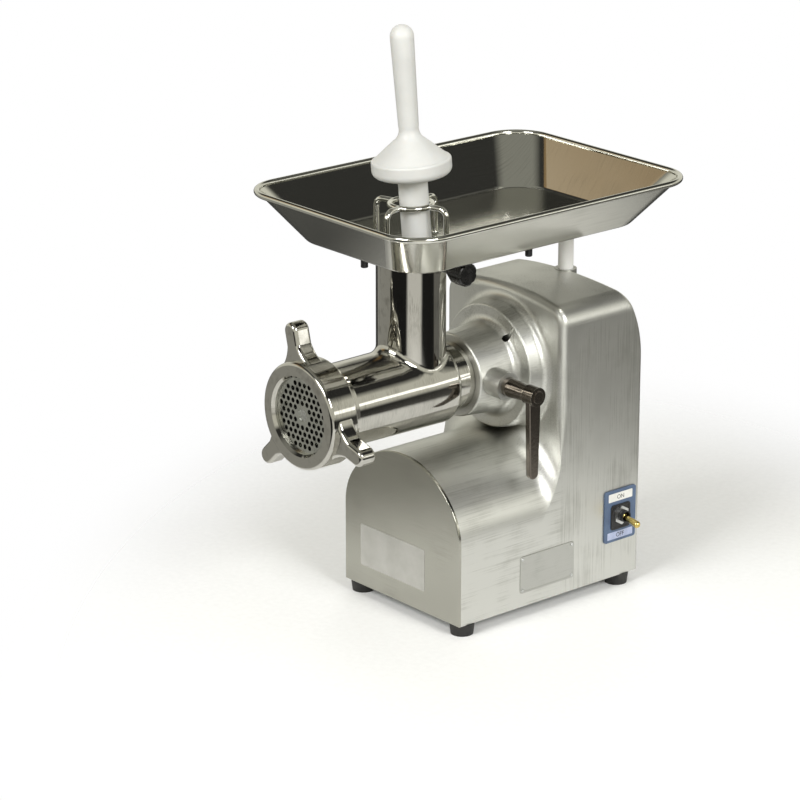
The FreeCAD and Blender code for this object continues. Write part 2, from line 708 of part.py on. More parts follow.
def base_plate():
    """Sheet that closes the bottom of the casting, with cooling slots under the motor."""
    half = BODY_HALF - WALL - LOOSE
    plate = box(-half, half, COVER_T + LOOSE, BODY_DEPTH - WALL - LOOSE, FOOT_HEIGHT, BODY_FLOOR)
    cuts = []
    for x, y in boss_places():
        cuts.append(rod(PLATE_SCREW_R + HOLE_CLEAR, point(x, y, 0), point(x, y, BODY_FLOOR + 1)))
    for x, y in foot_places():
        cuts.append(rod(FOOT_SCREW_R + HOLE_CLEAR, point(x, y, 0), point(x, y, BODY_FLOOR + 1)))
    middle_y = (STATOR_FRONT + STATOR_REAR) / 2
    for index in range(VENT_COUNT):
        x = (index - (VENT_COUNT - 1) / 2) * VENT_PITCH
        slot = box(x - VENT_HALF, x + VENT_HALF, middle_y - VENT_LENGTH / 2, middle_y + VENT_LENGTH / 2,
                   FOOT_HEIGHT - 1, BODY_FLOOR + 1)
        cuts.append(soften(slot, VENT_HALF * 0.98, lambda edge: edge.BoundBox.ZLength > BASE_T
                           and edge.BoundBox.DiagonalLength < BASE_T + 2.01))
    return one_solid(plate.cut(cuts))


def base_plate_screws():
    screws = []
    for x, y in boss_places():
        head = rod(PLATE_SCREW_HEAD_R, point(x, y, FOOT_HEIGHT - PLATE_SCREW_HEAD_T),
                   point(x, y, FOOT_HEIGHT))
        shank = rod(PLATE_SCREW_R, point(x, y, FOOT_HEIGHT - 1), point(x, y, FOOT_HEIGHT + BOSS_H - 4))
        screws.append(one_solid(head.fuse(shank)))
    return screws


def rubber_foot(x, y):
    foot = taper(FOOT_BASE_R, FOOT_R, point(x, y, 0), point(x, y, FOOT_HEIGHT))
    recess = rod(FOOT_RECESS_R, point(x, y, -1), point(x, y, FOOT_RECESS_H))
    hole = rod(FOOT_SCREW_R + HOLE_CLEAR, point(x, y, 0), point(x, y, FOOT_HEIGHT + 1))
    return foot.cut([recess, hole])


def foot_screws():
    screws = []
    for x, y in foot_places():
        head = rod(FOOT_SCREW_HEAD_R, point(x, y, FOOT_RECESS_H - FOOT_SCREW_HEAD_T),
                   point(x, y, FOOT_RECESS_H))
        shank = rod(FOOT_SCREW_R, point(x, y, FOOT_RECESS_H - 1), point(x, y, BODY_FLOOR + 4))
        screws.append(one_solid(head.fuse(shank)))
    return screws


def rear_screw_places():
    inset = REAR_COVER_LAP / 2
    levels = (REAR_COVER_LOW + inset, (REAR_COVER_LOW + REAR_COVER_HIGH) / 2, REAR_COVER_HIGH - inset)
    return [(side * (REAR_COVER_HALF - inset), z) for side in SIDES for z in levels]


def rear_cover():
    plate = rounded_plate(REAR_COVER_HALF, REAR_COVER_LOW, REAR_COVER_HIGH, REAR_COVER_CORNER_R,
                               BODY_DEPTH, REAR_FACE)
    holes = [y_rod(PLATE_SCREW_R + HOLE_CLEAR, BODY_DEPTH - 1, REAR_FACE + 1, z, x)
             for x, z in rear_screw_places()]
    holes.append(y_rod(GLAND_NOSE_R + HOLE_CLEAR, BODY_DEPTH - 1, REAR_FACE + 1, GLAND_Z, GLAND_X))
    return one_solid(plate.cut(holes))


def rear_cover_screws():
    face = REAR_FACE
    screws = []
    for x, z in rear_screw_places():
        head = y_rod(PLATE_SCREW_HEAD_R, face, face + PLATE_SCREW_HEAD_T, z, x)
        head = soften(head, PLATE_SCREW_HEAD_T * 0.6, lambda edge: edge.BoundBox.YMin > face + 1)
        shank = y_rod(PLATE_SCREW_R, BODY_DEPTH - WALL, face + 1, z, x)
        screws.append(one_solid(head.fuse(shank)))
    return screws


def cord_gland():
    """Cable inlet in the rear cover, with a nut and dome outside and a threaded nose inside."""
    inner_end = BODY_DEPTH - GLAND_INSIDE
    outer_end = REAR_FACE + GLAND_OUTSIDE
    nose = y_rod(GLAND_NOSE_R, inner_end, REAR_FACE + 1, GLAND_Z, GLAND_X)
    nut = hexagon(GLAND_AF, GLAND_NUT_T, point(GLAND_X, REAR_FACE, GLAND_Z), Y_DIR)
    dome = taper(GLAND_DOME_R, GLAND_TIP_R, point(GLAND_X, REAR_FACE, GLAND_Z),
                 point(GLAND_X, outer_end, GLAND_Z))
    bore = y_rod(GLAND_BORE_R, inner_end - 1, outer_end + 1, GLAND_Z, GLAND_X)
    return one_solid(nose.fuse([nut, dome]).cut(bore))


def gear_plate(low, y0, thickness, holes):
    plate = rounded_plate(GEAR_PLATE_HALF, low, GEAR_PLATE_TOP, GEAR_PLATE_CORNER_R, y0, y0 + thickness)
    return one_solid(plate.cut([y_rod(radius, y0 - 1, y0 + thickness + 1, z) for radius, z in holes]))


def gear_plate_front():
    holes = [(MOTOR_BEARING_R, MOTOR_Z), (LAYSHAFT_BEARING_R + PRESS, LAYSHAFT_Z), (OUTPUT_HUB_R, AXIS_Z)]
    return gear_plate(FRONT_PLATE_LOW, FRONT_PLATE_Y, GEAR_PLATE_T, holes)


def gear_plate_rear():
    holes = [(LAYSHAFT_BEARING_R + PRESS, LAYSHAFT_Z), (TAIL_BEARING_R + PRESS, AXIS_Z)]
    return gear_plate(REAR_PLATE_LOW, REAR_PLATE_Y, GEAR_PLATE_T, holes)


def gear_plate_pillars():
    start = FRONT_PLATE_Y + GEAR_PLATE_T
    return [y_rod(PILLAR_R, start, REAR_PLATE_Y, z, side * PILLAR_X)
            for side in SIDES for z in (PILLAR_LOW_Z, PILLAR_HIGH_Z)]


def bearing(outer, shaft, y0, thickness, z):
    """Shielded ball bearing: two races with a recessed shield between them on each face."""
    inner = shaft + RUN
    race = (outer - inner) * 0.24
    dish = thickness * 0.06
    outline = [
        (y0, inner), (y0, inner + race), (y0 + dish, inner + race), (y0 + dish, outer - race),
        (y0, outer - race), (y0, outer), (y0 + thickness, outer), (y0 + thickness, outer - race),
        (y0 + thickness - dish, outer - race), (y0 + thickness - dish, inner + race),
        (y0 + thickness, inner + race), (y0 + thickness, inner),
    ]
    return turned(outline, z)


def involute_flank(pitch_r, base_r, root_r, tip_r, half_thick):
    """Corners up one flank of a tooth, as (radius, angle from the tooth's middle)."""
    def spread(radius):
        lean = math.sqrt(max((radius / base_r) ** 2 - 1, 0))
        return lean - math.atan(lean)
    middle = half_thick / pitch_r + spread(pitch_r)
    start_r = max(base_r, root_r)
    flank = [(root_r, middle - spread(start_r))]
    steps = 3
    for step in range(steps + 1):
        radius = start_r + (tip_r - start_r) * step / steps
        flank.append((radius, middle - spread(radius)))
    return flank


def gear(module, teeth, y0, thickness, bore, z, tooth_up):
    """Spur gear with involute teeth; a tooth faces straight up, or a gap straight down."""
    pitch_r = module * teeth / 2
    base_r = pitch_r * math.cos(math.radians(PRESSURE_DEG))
    tip_r = pitch_r + TOOTH_ABOVE * module
    root_r = pitch_r - TOOTH_BELOW * module
    flank = involute_flank(pitch_r, base_r, root_r, tip_r, (math.pi * module / 2 - BACKLASH) / 2)
    start = math.pi / 2 if tooth_up else -math.pi / 2 + math.pi / teeth
    corners = []
    for tooth in range(teeth):
        middle = start + 2 * math.pi * tooth / teeth
        outline = [(radius, middle - angle) for radius, angle in flank]
        outline += [(radius, middle + angle) for radius, angle in reversed(flank)]
        for radius, angle in outline:
            corners.append(point(radius * math.cos(angle), y0, z + radius * math.sin(angle)))
    blank = Part.Face(Part.makePolygon(corners + corners[:1])).extrude(Y_DIR * thickness)
    return blank.cut(y_rod(bore, y0 - 1, y0 + thickness + 1, z))


def wheel(module, teeth, y0, thickness, shaft, z):
    """Large gear with a shallow groove in each face between its hub and its rim."""
    blank = gear(module, teeth, y0, thickness, shaft + PRESS, z, False)
    depth = thickness * WHEEL_GROOVE_SHARE
    outer = module * teeth / 2 - WHEEL_RIM
    inner = shaft + WHEEL_HUB
    grooves = [y_ring(outer, inner, y0 - 1, y0 + depth, z),
               y_ring(outer, inner, y0 + thickness - depth, y0 + thickness + 1, z)]
    return one_solid(blank.cut(grooves))


def motor_pinion():
    bore = MOTOR_SHAFT_R + PRESS
    return gear(STAGE_1_MODULE, STAGE_1_PINION_TEETH, STAGE_1_Y, STAGE_1_T, bore, MOTOR_Z, True)


def layshaft_gear():
    return wheel(STAGE_1_MODULE, STAGE_1_WHEEL_TEETH, STAGE_1_Y, STAGE_1_T, LAYSHAFT_R, LAYSHAFT_Z)


def layshaft_pinion():
    bore = LAYSHAFT_R + PRESS
    return gear(STAGE_2_MODULE, STAGE_2_PINION_TEETH, STAGE_2_Y, STAGE_2_T, bore, LAYSHAFT_Z, True)


def output_gear():
    return wheel(STAGE_2_MODULE, STAGE_2_WHEEL_TEETH, STAGE_2_Y, STAGE_2_T, OUTPUT_R, AXIS_Z)


def layshaft():
    return y_rod(LAYSHAFT_R, FRONT_PLATE_Y, REAR_PLATE_END, LAYSHAFT_Z)


def layshaft_bearings():
    return [bearing(LAYSHAFT_BEARING_R, LAYSHAFT_R, y, GEAR_PLATE_T, LAYSHAFT_Z)
            for y in (FRONT_PLATE_Y, REAR_PLATE_Y)]


def output_shaft():
    """Final shaft: a socketed hub that drives the auger, a journal, and a turned-down tail."""
    outline = [
        (OUTPUT_HUB_FRONT, 0), (OUTPUT_HUB_FRONT, OUTPUT_HUB_R), (SOCKET_END - 1, OUTPUT_HUB_R),
        (SOCKET_END - 1, OUTPUT_R), (REAR_PLATE_Y - 1, OUTPUT_R), (REAR_PLATE_Y - 1, OUTPUT_TAIL_R),
        (REAR_PLATE_END, OUTPUT_TAIL_R), (REAR_PLATE_END, 0),
    ]
    half = TANG / 2 + HOLE_CLEAR
    socket = box(-half, half, OUTPUT_HUB_FRONT - 1, OUTPUT_HUB_FRONT + TANG_LENGTH + 1,
                 AXIS_Z - half, AXIS_Z + half)
    return one_solid(turned(outline).cut(socket))


def oil_seal():
    return y_ring(OUTPUT_BEARING_R, OUTPUT_R + RUN, SOCKET_END, SOCKET_END + SEAL_T, AXIS_Z)


def output_front_bearing():
    return bearing(OUTPUT_BEARING_R, OUTPUT_R, SOCKET_END + SEAL_T, OUTPUT_BEARING_T, AXIS_Z)


def output_rear_bearing():
    return bearing(TAIL_BEARING_R, OUTPUT_TAIL_R, REAR_PLATE_Y, GEAR_PLATE_T, AXIS_Z)


def motor_stator():
    """Ring of laminations with slots for the coils."""
    ring = y_ring(STATOR_R, STATOR_BORE_R, STATOR_FRONT, STATOR_REAR, MOTOR_Z)
    slots = []
    for index in range(STATOR_SLOTS):
        slot = box(WINDING_INNER_R, WINDING_OUTER_R - WINDING_ROUND, STATOR_FRONT - 1, STATOR_REAR + 1,
                   MOTOR_Z - STATOR_SLOT_HALF, MOTOR_Z + STATOR_SLOT_HALF)
        slot.rotate(point(0, 0, MOTOR_Z), Y_DIR, 360 * index / STATOR_SLOTS)
        slots.append(slot)
    return one_solid(ring.cut(slots))


def motor_windings():
    """End turns of the coils, which stand out of both faces of the stator."""
    straight = WINDING_LENGTH - WINDING_ROUND
    outline = [(0, WINDING_INNER_R), (0, WINDING_OUTER_R), (straight, WINDING_OUTER_R),
               (WINDING_LENGTH, WINDING_OUTER_R - WINDING_ROUND),
               (WINDING_LENGTH, WINDING_INNER_R + WINDING_ROUND), (straight, WINDING_INNER_R)]
    rear = turned([(STATOR_REAR + y, radius) for y, radius in outline], MOTOR_Z)
    front = turned([(STATOR_FRONT - y, radius) for y, radius in outline], MOTOR_Z)
    return [front, rear]


def bell(open_y, end_y):
    """End bell of the motor: a cup on the stator's rim with a hub that holds a bearing."""
    way = 1 if end_y > open_y else -1
    pocket = MOTOR_BEARING_R + PRESS
    through_r = MOTOR_SHAFT_R + 2
    seat = end_y - way * BEARING_SETBACK
    hub_end = seat - way * MOTOR_BEARING_T
    web = end_y - way * BELL_END_T
    return turned([
        (open_y, BELL_R), (end_y, BELL_R), (end_y, through_r), (seat, through_r), (seat, pocket),
        (hub_end, pocket), (hub_end, BELL_HUB_R), (web, BELL_HUB_R), (web, BELL_R - BELL_WALL),
        (open_y, BELL_R - BELL_WALL),
    ], MOTOR_Z)


def motor_front_bell():
    return bell(STATOR_FRONT, FRONT_BELL_Y)


def motor_rear_bell():
    return bell(STATOR_REAR, REAR_BELL_Y)


def motor_bearings():
    starts = (FRONT_BELL_Y + BEARING_SETBACK, REAR_BELL_Y - BEARING_SETBACK - MOTOR_BEARING_T)
    return [bearing(MOTOR_BEARING_R, MOTOR_SHAFT_R, y, MOTOR_BEARING_T, MOTOR_Z) for y in starts]


def motor_shaft():
    return y_rod(MOTOR_SHAFT_R, FAN_Y, STAGE_1_Y + STAGE_1_T + 1, MOTOR_Z)


def motor_rotor():
    return y_ring(STATOR_BORE_R - AIR_GAP, MOTOR_SHAFT_R + PRESS, STATOR_FRONT, STATOR_REAR, MOTOR_Z)


def cooling_fan():
    """Radial fan on the front end of the motor shaft."""
    disc = y_rod(FAN_R, FAN_Y, FAN_Y + FAN_DISC_T, MOTOR_Z)
    hub = y_rod(FAN_HUB_R, FAN_Y, FAN_Y + FAN_T, MOTOR_Z)
    blades = []
    for index in range(FAN_BLADES):
        blade = box(FAN_HUB_R - 2, FAN_R - 2, FAN_Y + 1, FAN_Y + FAN_T,
                    MOTOR_Z - FAN_BLADE_HALF, MOTOR_Z + FAN_BLADE_HALF)
        blade.rotate(point(0, 0, MOTOR_Z), Y_DIR, 360 * index / FAN_BLADES)
        blades.append(blade)
    fan = disc.fuse([hub] + blades)
    return one_solid(fan.cut(y_rod(MOTOR_SHAFT_R + PRESS, FAN_Y - 1, FAN_Y + FAN_T + 1, MOTOR_Z)))


def switch_plate():
    plate = box(BODY_HALF, BODY_HALF + SWITCH_PLATE_T, SWITCH_BACK - SWITCH_W, SWITCH_BACK,
                SWITCH_LOW, SWITCH_LOW + SWITCH_H)
    plate = soften(plate, SWITCH_CORNER_R, lambda edge: edge.BoundBox.DiagonalLength < SWITCH_PLATE_T + 0.01)
    y, z = switch_centre()
    hole = rod(SWITCH_BUSH_R + HOLE_CLEAR, point(BODY_HALF - 1, y, z), point(BODY_HALF + 5, y, z))
    return one_solid(plate.cut(hole))


def switch_body():
    """Toggle switch behind the wall, with its threaded bush coming out through the plate."""
    y, z = switch_centre()
    inside = BODY_HALF - WALL
    block = box(inside - SWITCH_BODY_DEPTH, inside, y - SWITCH_BODY_W / 2, y + SWITCH_BODY_W / 2,
                z - SWITCH_BODY_H / 2, z + SWITCH_BODY_H / 2)
    mouth = BODY_HALF + SWITCH_PLATE_T + SWITCH_BUSH_PROUD
    bush = rod(SWITCH_BUSH_R, point(inside - 1, y, z), point(mouth, y, z))
    well_floor = toggle_pivot().x - TOGGLE_TIP_R - LOOSE
    well = rod(SWITCH_BUSH_R - SWITCH_BUSH_WALL, point(well_floor, y, z), point(mouth + 1, y, z))
    return one_solid(block.fuse(bush).cut(well))


def switch_nut():
    y, z = switch_centre()
    face = BODY_HALF + SWITCH_PLATE_T
    nut = hexagon(SWITCH_NUT_AF, SWITCH_NUT_T, point(face, y, z), X_DIR)
    return nut.cut(rod(SWITCH_BUSH_R + RUN, point(face - 1, y, z), point(face + SWITCH_NUT_T + 1, y, z)))


def toggle_pivot():
    y, z = switch_centre()
    return point(BODY_HALF + SWITCH_PLATE_T + SWITCH_BUSH_PROUD - TOGGLE_SINK, y, z)


def toggle_lever():
    """Bat-shaped toggle, thrown down at rest, with a pivot ball at its inner end."""
    ball_end = math.sqrt(TOGGLE_TIP_R ** 2 - TOGGLE_FLAT_R ** 2)
    ball_neck = math.sqrt(TOGGLE_TIP_R ** 2 - TOGGLE_R ** 2)
    round_mid = TOGGLE_TIP_R * (1 - QUARTER)
    lever = turned([
        (-ball_end, 0), (-ball_end, TOGGLE_FLAT_R), (ball_neck, TOGGLE_R, 0, TOGGLE_TIP_R),
        (TOGGLE_LENGTH, TOGGLE_TIP_R),
        (TOGGLE_LENGTH + ball_end, TOGGLE_FLAT_R, TOGGLE_LENGTH + round_mid, round_mid),
        (TOGGLE_LENGTH + ball_end, 0),
    ], 0)
    pivot = toggle_pivot()
    lever.rotate(point(0, 0, 0), Z_DIR, -90)
    lever.translate(pivot)
    lever.rotate(pivot, Y_DIR, TOGGLE_DEG)
    return lever


def run_capacitor():
    """Boxed run capacitor on the base plate, with two blade terminals."""
    top = BODY_FLOOR + CAPACITOR_H
    middle_y = CAPACITOR_Y + CAPACITOR_DEPTH / 2
    case = box(CAPACITOR_X, CAPACITOR_X + CAPACITOR_W, CAPACITOR_Y, CAPACITOR_Y + CAPACITOR_DEPTH,
               BODY_FLOOR, top)
    case = soften(case, CAPACITOR_ROUND, lambda edge: edge.BoundBox.ZLength > CAPACITOR_H - 0.01)
    blades = []
    for share in (1 / 3, 2 / 3):
        x = CAPACITOR_X + CAPACITOR_W * share
        blades.append(box(x - TAB_HALF, x + TAB_HALF, middle_y - TAB_T / 2, middle_y + TAB_T / 2,
                          top - 1, top + TAB_H))
    return one_solid(case.fuse(blades))


def pan_support_post():
    return rod(POST_R, point(0, POST_Y, POST_PAD_Z), point(0, POST_Y, FEED_TOP - RUN))


def clamp_screw():
    """Screw along X whose tip bears on the spigot through the side of the neck."""
    tip_x = SPIGOT_R + LOOSE
    end_x = LEVER_X + LEVER_HUB_T + 1
    shank = rod(CLAMP_SCREW_R, point(tip_x, CLAMP_Y, AXIS_Z), point(end_x, CLAMP_Y, AXIS_Z))
    collar_x = CLAMP_BOSS_X + LOOSE
    collar = rod(CLAMP_COLLAR_R, point(collar_x, CLAMP_Y, AXIS_Z),
                 point(collar_x + CLAMP_COLLAR_T, CLAMP_Y, AXIS_Z))
    neck = taper(CLAMP_COLLAR_R, CLAMP_SCREW_R + 1.5, point(collar_x + CLAMP_COLLAR_T, CLAMP_Y, AXIS_Z),
                 point(LEVER_X, CLAMP_Y, AXIS_Z))
    return one_solid(shank.fuse([collar, neck]))


def clamp_lever():
    """Flat handle keyed to the clamp screw, hanging down when the head is locked."""
    hub = rod(LEVER_HUB_R, point(LEVER_X, CLAMP_Y, AXIS_Z), point(LEVER_X + LEVER_HUB_T, CLAMP_Y, AXIS_Z))
    low_z = AXIS_Z - LEVER_LENGTH + LEVER_TIP_R
    root_half = LEVER_HUB_R * 0.8
    side_x = LEVER_X + (LEVER_HUB_T - LEVER_T) / 2
    corners = [point(side_x, CLAMP_Y - root_half, AXIS_Z), point(side_x, CLAMP_Y + root_half, AXIS_Z),
               point(side_x, CLAMP_Y + LEVER_TIP_R, low_z), point(side_x, CLAMP_Y, low_z - LEVER_TIP_R),
               point(side_x, CLAMP_Y - LEVER_TIP_R, low_z)]
    edges = [
        Part.LineSegment(corners[0], corners[1]).toShape(),
        Part.LineSegment(corners[1], corners[2]).toShape(),
        Part.Arc(corners[2], corners[3], corners[4]).toShape(),
        Part.LineSegment(corners[4], corners[0]).toShape(),
    ]
    blade = Part.Face(Part.Wire(edges)).extrude(X_DIR * LEVER_T)
    lever = one_solid(hub.fuse(blade))
    lever = soften(lever, LEVER_EDGE_R, lambda edge: edge.BoundBox.ZMax < AXIS_Z - LEVER_HUB_R - 1
                   and edge.BoundBox.XLength < 0.01)
    return lever.cut(rod(CLAMP_SCREW_R + PRESS, point(LEVER_X - 1, CLAMP_Y, AXIS_Z),
                         point(LEVER_X + LEVER_HUB_T + 1, CLAMP_Y, AXIS_Z)))


def grinder_head():
    """One stainless casting: barrel with a threaded mouth, feed tube, and spigot for the neck."""
    shoulder = (BARREL_REAR_R - COLLAR_R) * 0.8
    turn = shoulder * QUARTER
    outside = turned([
        (BARREL_FRONT, 0), (BARREL_FRONT, THREAD_R), (THREAD_END, THREAD_R),
        (THREAD_END + 2, BARREL_FRONT_R + 1.5), (THREAD_END + 10, BARREL_FRONT_R),
        (BARREL_REAR - shoulder, BARREL_REAR_R),
        (BARREL_REAR, BARREL_REAR_R - shoulder, BARREL_REAR - turn, BARREL_REAR_R - turn),
        (BARREL_REAR, COLLAR_R), (NECK_MOUTH - LOOSE, COLLAR_R), (NECK_MOUTH - LOOSE, SPIGOT_R),
        (SPIGOT_END, SPIGOT_R), (SPIGOT_END, 0),
    ])
    tube = rod(FEED_R, point(0, FEED_Y, AXIS_Z), point(0, FEED_Y, FEED_TOP))
    outside = one_solid(outside.fuse(tube))
    outside = soften(outside, FEED_FILLET_R, lambda edge: edge.BoundBox.ZMax < FEED_TOP - 20
                     and edge.BoundBox.ZMin > AXIS_Z and edge.BoundBox.XLength > FEED_R
                     and edge.BoundBox.YLength > FEED_R and edge.BoundBox.ZLength > 2)
    bead = rod(FEED_BEAD_R, point(0, FEED_Y, FEED_TOP - FEED_BEAD_H), point(0, FEED_Y, FEED_TOP))
    bead = soften(bead, FEED_BEAD_ROUND, lambda edge: edge.BoundBox.ZLength < 0.01)
    knob_boss = rod(KNOB_BOSS_R, point(FEED_R - 2, FEED_Y, KNOB_Z), point(KNOB_BOSS_X, FEED_Y, KNOB_Z))
    outside = outside.fuse([bead, knob_boss])
    bush_r = JOURNAL_R + BUSH_T + PRESS
    bore = turned([
        (BARREL_FRONT - 1, 0), (BARREL_FRONT - 1, PLATE_SEAT_R), (PLATE_SEAT_END, PLATE_SEAT_R),
        (PLATE_SEAT_END, BARREL_BORE_R), (CHAMBER_END - CHAMBER_TAPER, BARREL_BORE_R),
        (CHAMBER_END, BARREL_BORE_R - 2 * CHAMBER_TAPER), (CHAMBER_END, bush_r),
        (OUTPUT_HUB_FRONT - 2, bush_r),
        (OUTPUT_HUB_FRONT - 2, OUTPUT_HUB_R + LOOSE), (SPIGOT_END + 1, OUTPUT_HUB_R + LOOSE),
        (SPIGOT_END + 1, 0),
    ])
    throat = rod(FEED_BORE_R, point(0, FEED_Y, AXIS_Z), point(0, FEED_Y, FEED_TOP + 1))
    knob_hole = rod(KNOB_SCREW_R + HOLE_CLEAR, point(FEED_BORE_R - 2, FEED_Y, KNOB_Z),
                    point(KNOB_BOSS_X + 1, FEED_Y, KNOB_Z))
    key_hole = rod(KEY_R + PRESS, key_seat(0), key_seat(THREAD_R))
    return one_solid(outside.cut([bore, throat, knob_hole, key_hole]))


def key_seat(radius):
    return point(0, BARREL_FRONT + KEY_SETBACK, AXIS_Z - radius)


def auger_bush():
    """Plain bronze sleeve in the spigot for the auger's journal."""
    return y_ring(JOURNAL_R + BUSH_T, JOURNAL_R + RUN, CHAMBER_END, JOURNAL_END, AXIS_Z)


def thrust_washer():
    """Nylon washer on the journal between the auger's shoulder and the end of the barrel."""
    return y_ring(WASHER_R, JOURNAL_R + PRESS, CHAMBER_END - LOOSE - WASHER_T, CHAMBER_END - LOOSE, AXIS_Z)


def plate_key_pin():
    """Radial pin in the barrel's mouth that stops the plate from turning."""
    return rod(KEY_R, key_seat(PLATE_SEAT_R - KEY_REACH), key_seat(THREAD_R - 1))


def grinding_plate():
    """Perforated disc: holes on a triangular grid between the hub and the rim."""
    y0 = PLATE_FRONT
    disc = y_rod(PLATE_R, y0, y0 + PLATE_T, AXIS_Z)
    disc = soften(disc, 0.6, lambda edge: True)
    hub_r = PIN_R + PLATE_HUB
    reach = PLATE_R - PLATE_RIM
    row_step = PLATE_HOLE_PITCH * math.sqrt(3) / 2
    rows = int(reach / row_step) + 1
    cuts = [y_rod(PIN_R + RUN, y0 - 1, y0 + PLATE_T + 1, AXIS_Z)]
    for row in range(-rows, rows + 1):
        offset = PLATE_HOLE_PITCH / 2 if row % 2 else 0.0
        for column in range(-rows, rows + 1):
            x = column * PLATE_HOLE_PITCH + offset
            z = row * row_step
            if hub_r + PLATE_HOLE_R < math.hypot(x, z) < reach - PLATE_HOLE_R:
                cuts.append(y_rod(PLATE_HOLE_R, y0 - 1, y0 + PLATE_T + 1, AXIS_Z + z, x))
    notch = KEY_R + LOOSE
    cuts.append(box(-notch, notch, y0 - 1, y0 + PLATE_T + 1, AXIS_Z - PLATE_R - 1,
                    AXIS_Z - PLATE_R + KEY_REACH + LOOSE))
    return one_solid(disc.cut(cuts))


def knife():
    """Cross knife: four blades whose sharp faces lie against the plate."""
    y0 = KNIFE_FRONT
    hub = y_rod(KNIFE_BLADE_W * 0.85, y0, y0 + KNIFE_T, AXIS_Z)
    blades = []
    half = KNIFE_BLADE_W / 2
    for turn in range(4):
        corners = [point(0, y0, AXIS_Z - half), point(0, y0, AXIS_Z + half),
                   point(0, y0 + KNIFE_EDGE_T, AXIS_Z + half), point(0, y0 + KNIFE_HEEL_T, AXIS_Z - half)]
        blade = Part.Face(Part.makePolygon(corners + corners[:1])).extrude(X_DIR * KNIFE_R)
        blade.rotate(point(0, 0, AXIS_Z), Y_DIR, 90 * turn)
        blades.append(blade)
    rim = y_rod(KNIFE_R, y0 - 1, y0 + KNIFE_T + 1, AXIS_Z)
    half_hole = STUB / 2 + RUN
    hole = box(-half_hole, half_hole, y0 - 1, y0 + KNIFE_T + 1, AXIS_Z - half_hole, AXIS_Z + half_hole)
    return one_solid(hub.fuse(blades).common(rim).cut(hole))


def auger():
    """Cast worm: a core that thickens towards the plate, one helical flight, tang and knife stub."""
    shoulder = CHAMBER_END - LOOSE - WASHER_T
    bevel = 3.0
    core = turned([
        (KNIFE_BACK, 0), (KNIFE_BACK, AUGER_CORE_FRONT_R - bevel), (KNIFE_BACK + bevel, AUGER_CORE_FRONT_R),
        (shoulder - 2 * bevel, AUGER_CORE_REAR_R), (shoulder, JOURNAL_R + bevel), (shoulder, 0),
    ])
    flight_start = KNIFE_BACK + FLIGHT_ROOT_T / 2
    flight_end = CHAMBER_END - CHAMBER_TAPER - FLIGHT_ROOT_T / 2 - LOOSE
    helix = Part.makeHelix(AUGER_PITCH, flight_end - flight_start, AUGER_CORE_FRONT_R)
    inner = AUGER_CORE_REAR_R - 4
    section = Part.makePolygon([point(inner, 0, -FLIGHT_ROOT_T / 2), point(AUGER_R, 0, -FLIGHT_TIP_T / 2),
                                point(AUGER_R, 0, FLIGHT_TIP_T / 2), point(inner, 0, FLIGHT_ROOT_T / 2),
                                point(inner, 0, -FLIGHT_ROOT_T / 2)])
    flight = Part.Wire(helix.Edges).makePipeShell([section], True, True)
    flight.rotate(point(0, 0, 0), X_DIR, -90)
    flight.translate(point(0, flight_start, AXIS_Z))
    journal = y_rod(JOURNAL_R, shoulder - 1, JOURNAL_END, AXIS_Z)
    half = TANG / 2
    tang = box(-half, half, JOURNAL_END - 1, OUTPUT_HUB_FRONT + TANG_LENGTH, AXIS_Z - half, AXIS_Z + half)
    half_stub = STUB / 2
    stub = box(-half_stub, half_stub, KNIFE_FRONT, KNIFE_BACK + 1, AXIS_Z - half_stub, AXIS_Z + half_stub)
    pin = y_rod(PIN_R, PLATE_FRONT + 1, KNIFE_BACK + 2, AXIS_Z)
    return one_solid(core.fuse([flight, journal, tang, stub, pin]))


def ring_lug(turn_deg):
    """A finger lug that flares into the ring nut."""
    root_r = RING_R - LUG_SINK
    waist_r = RING_R + LUG_WAIST
    tip_r = LUG_TIP_R - LUG_HALF
    y0 = (RING_FRONT + RING_REAR - LUG_T) / 2
    def at(x, radius):
        return point(x, y0, AXIS_Z + radius)
    bow = (LUG_ROOT_HALF - LUG_HALF) * 0.32
    edges = [
        Part.LineSegment(at(-LUG_ROOT_HALF, root_r), at(LUG_ROOT_HALF, root_r)).toShape(),
        Part.Arc(at(LUG_ROOT_HALF, root_r), at(LUG_HALF + bow, (root_r + waist_r) / 2),
                 at(LUG_HALF, waist_r)).toShape(),
        Part.LineSegment(at(LUG_HALF, waist_r), at(LUG_HALF, tip_r)).toShape(),
        Part.Arc(at(LUG_HALF, tip_r), at(0, LUG_TIP_R), at(-LUG_HALF, tip_r)).toShape(),
        Part.LineSegment(at(-LUG_HALF, tip_r), at(-LUG_HALF, waist_r)).toShape(),
        Part.Arc(at(-LUG_HALF, waist_r), at(-LUG_HALF - bow, (root_r + waist_r) / 2),
                 at(-LUG_ROOT_HALF, root_r)).toShape(),
    ]
    lug = Part.Face(Part.Wire(edges)).extrude(Y_DIR * LUG_T)
    lug = soften(lug, LUG_EDGE_R, lambda edge: edge.BoundBox.YLength < 0.01
                 and edge.BoundBox.ZMax > AXIS_Z + root_r + 1)
    lug.rotate(point(0, 0, AXIS_Z), Y_DIR, 90 - turn_deg)
    return lug


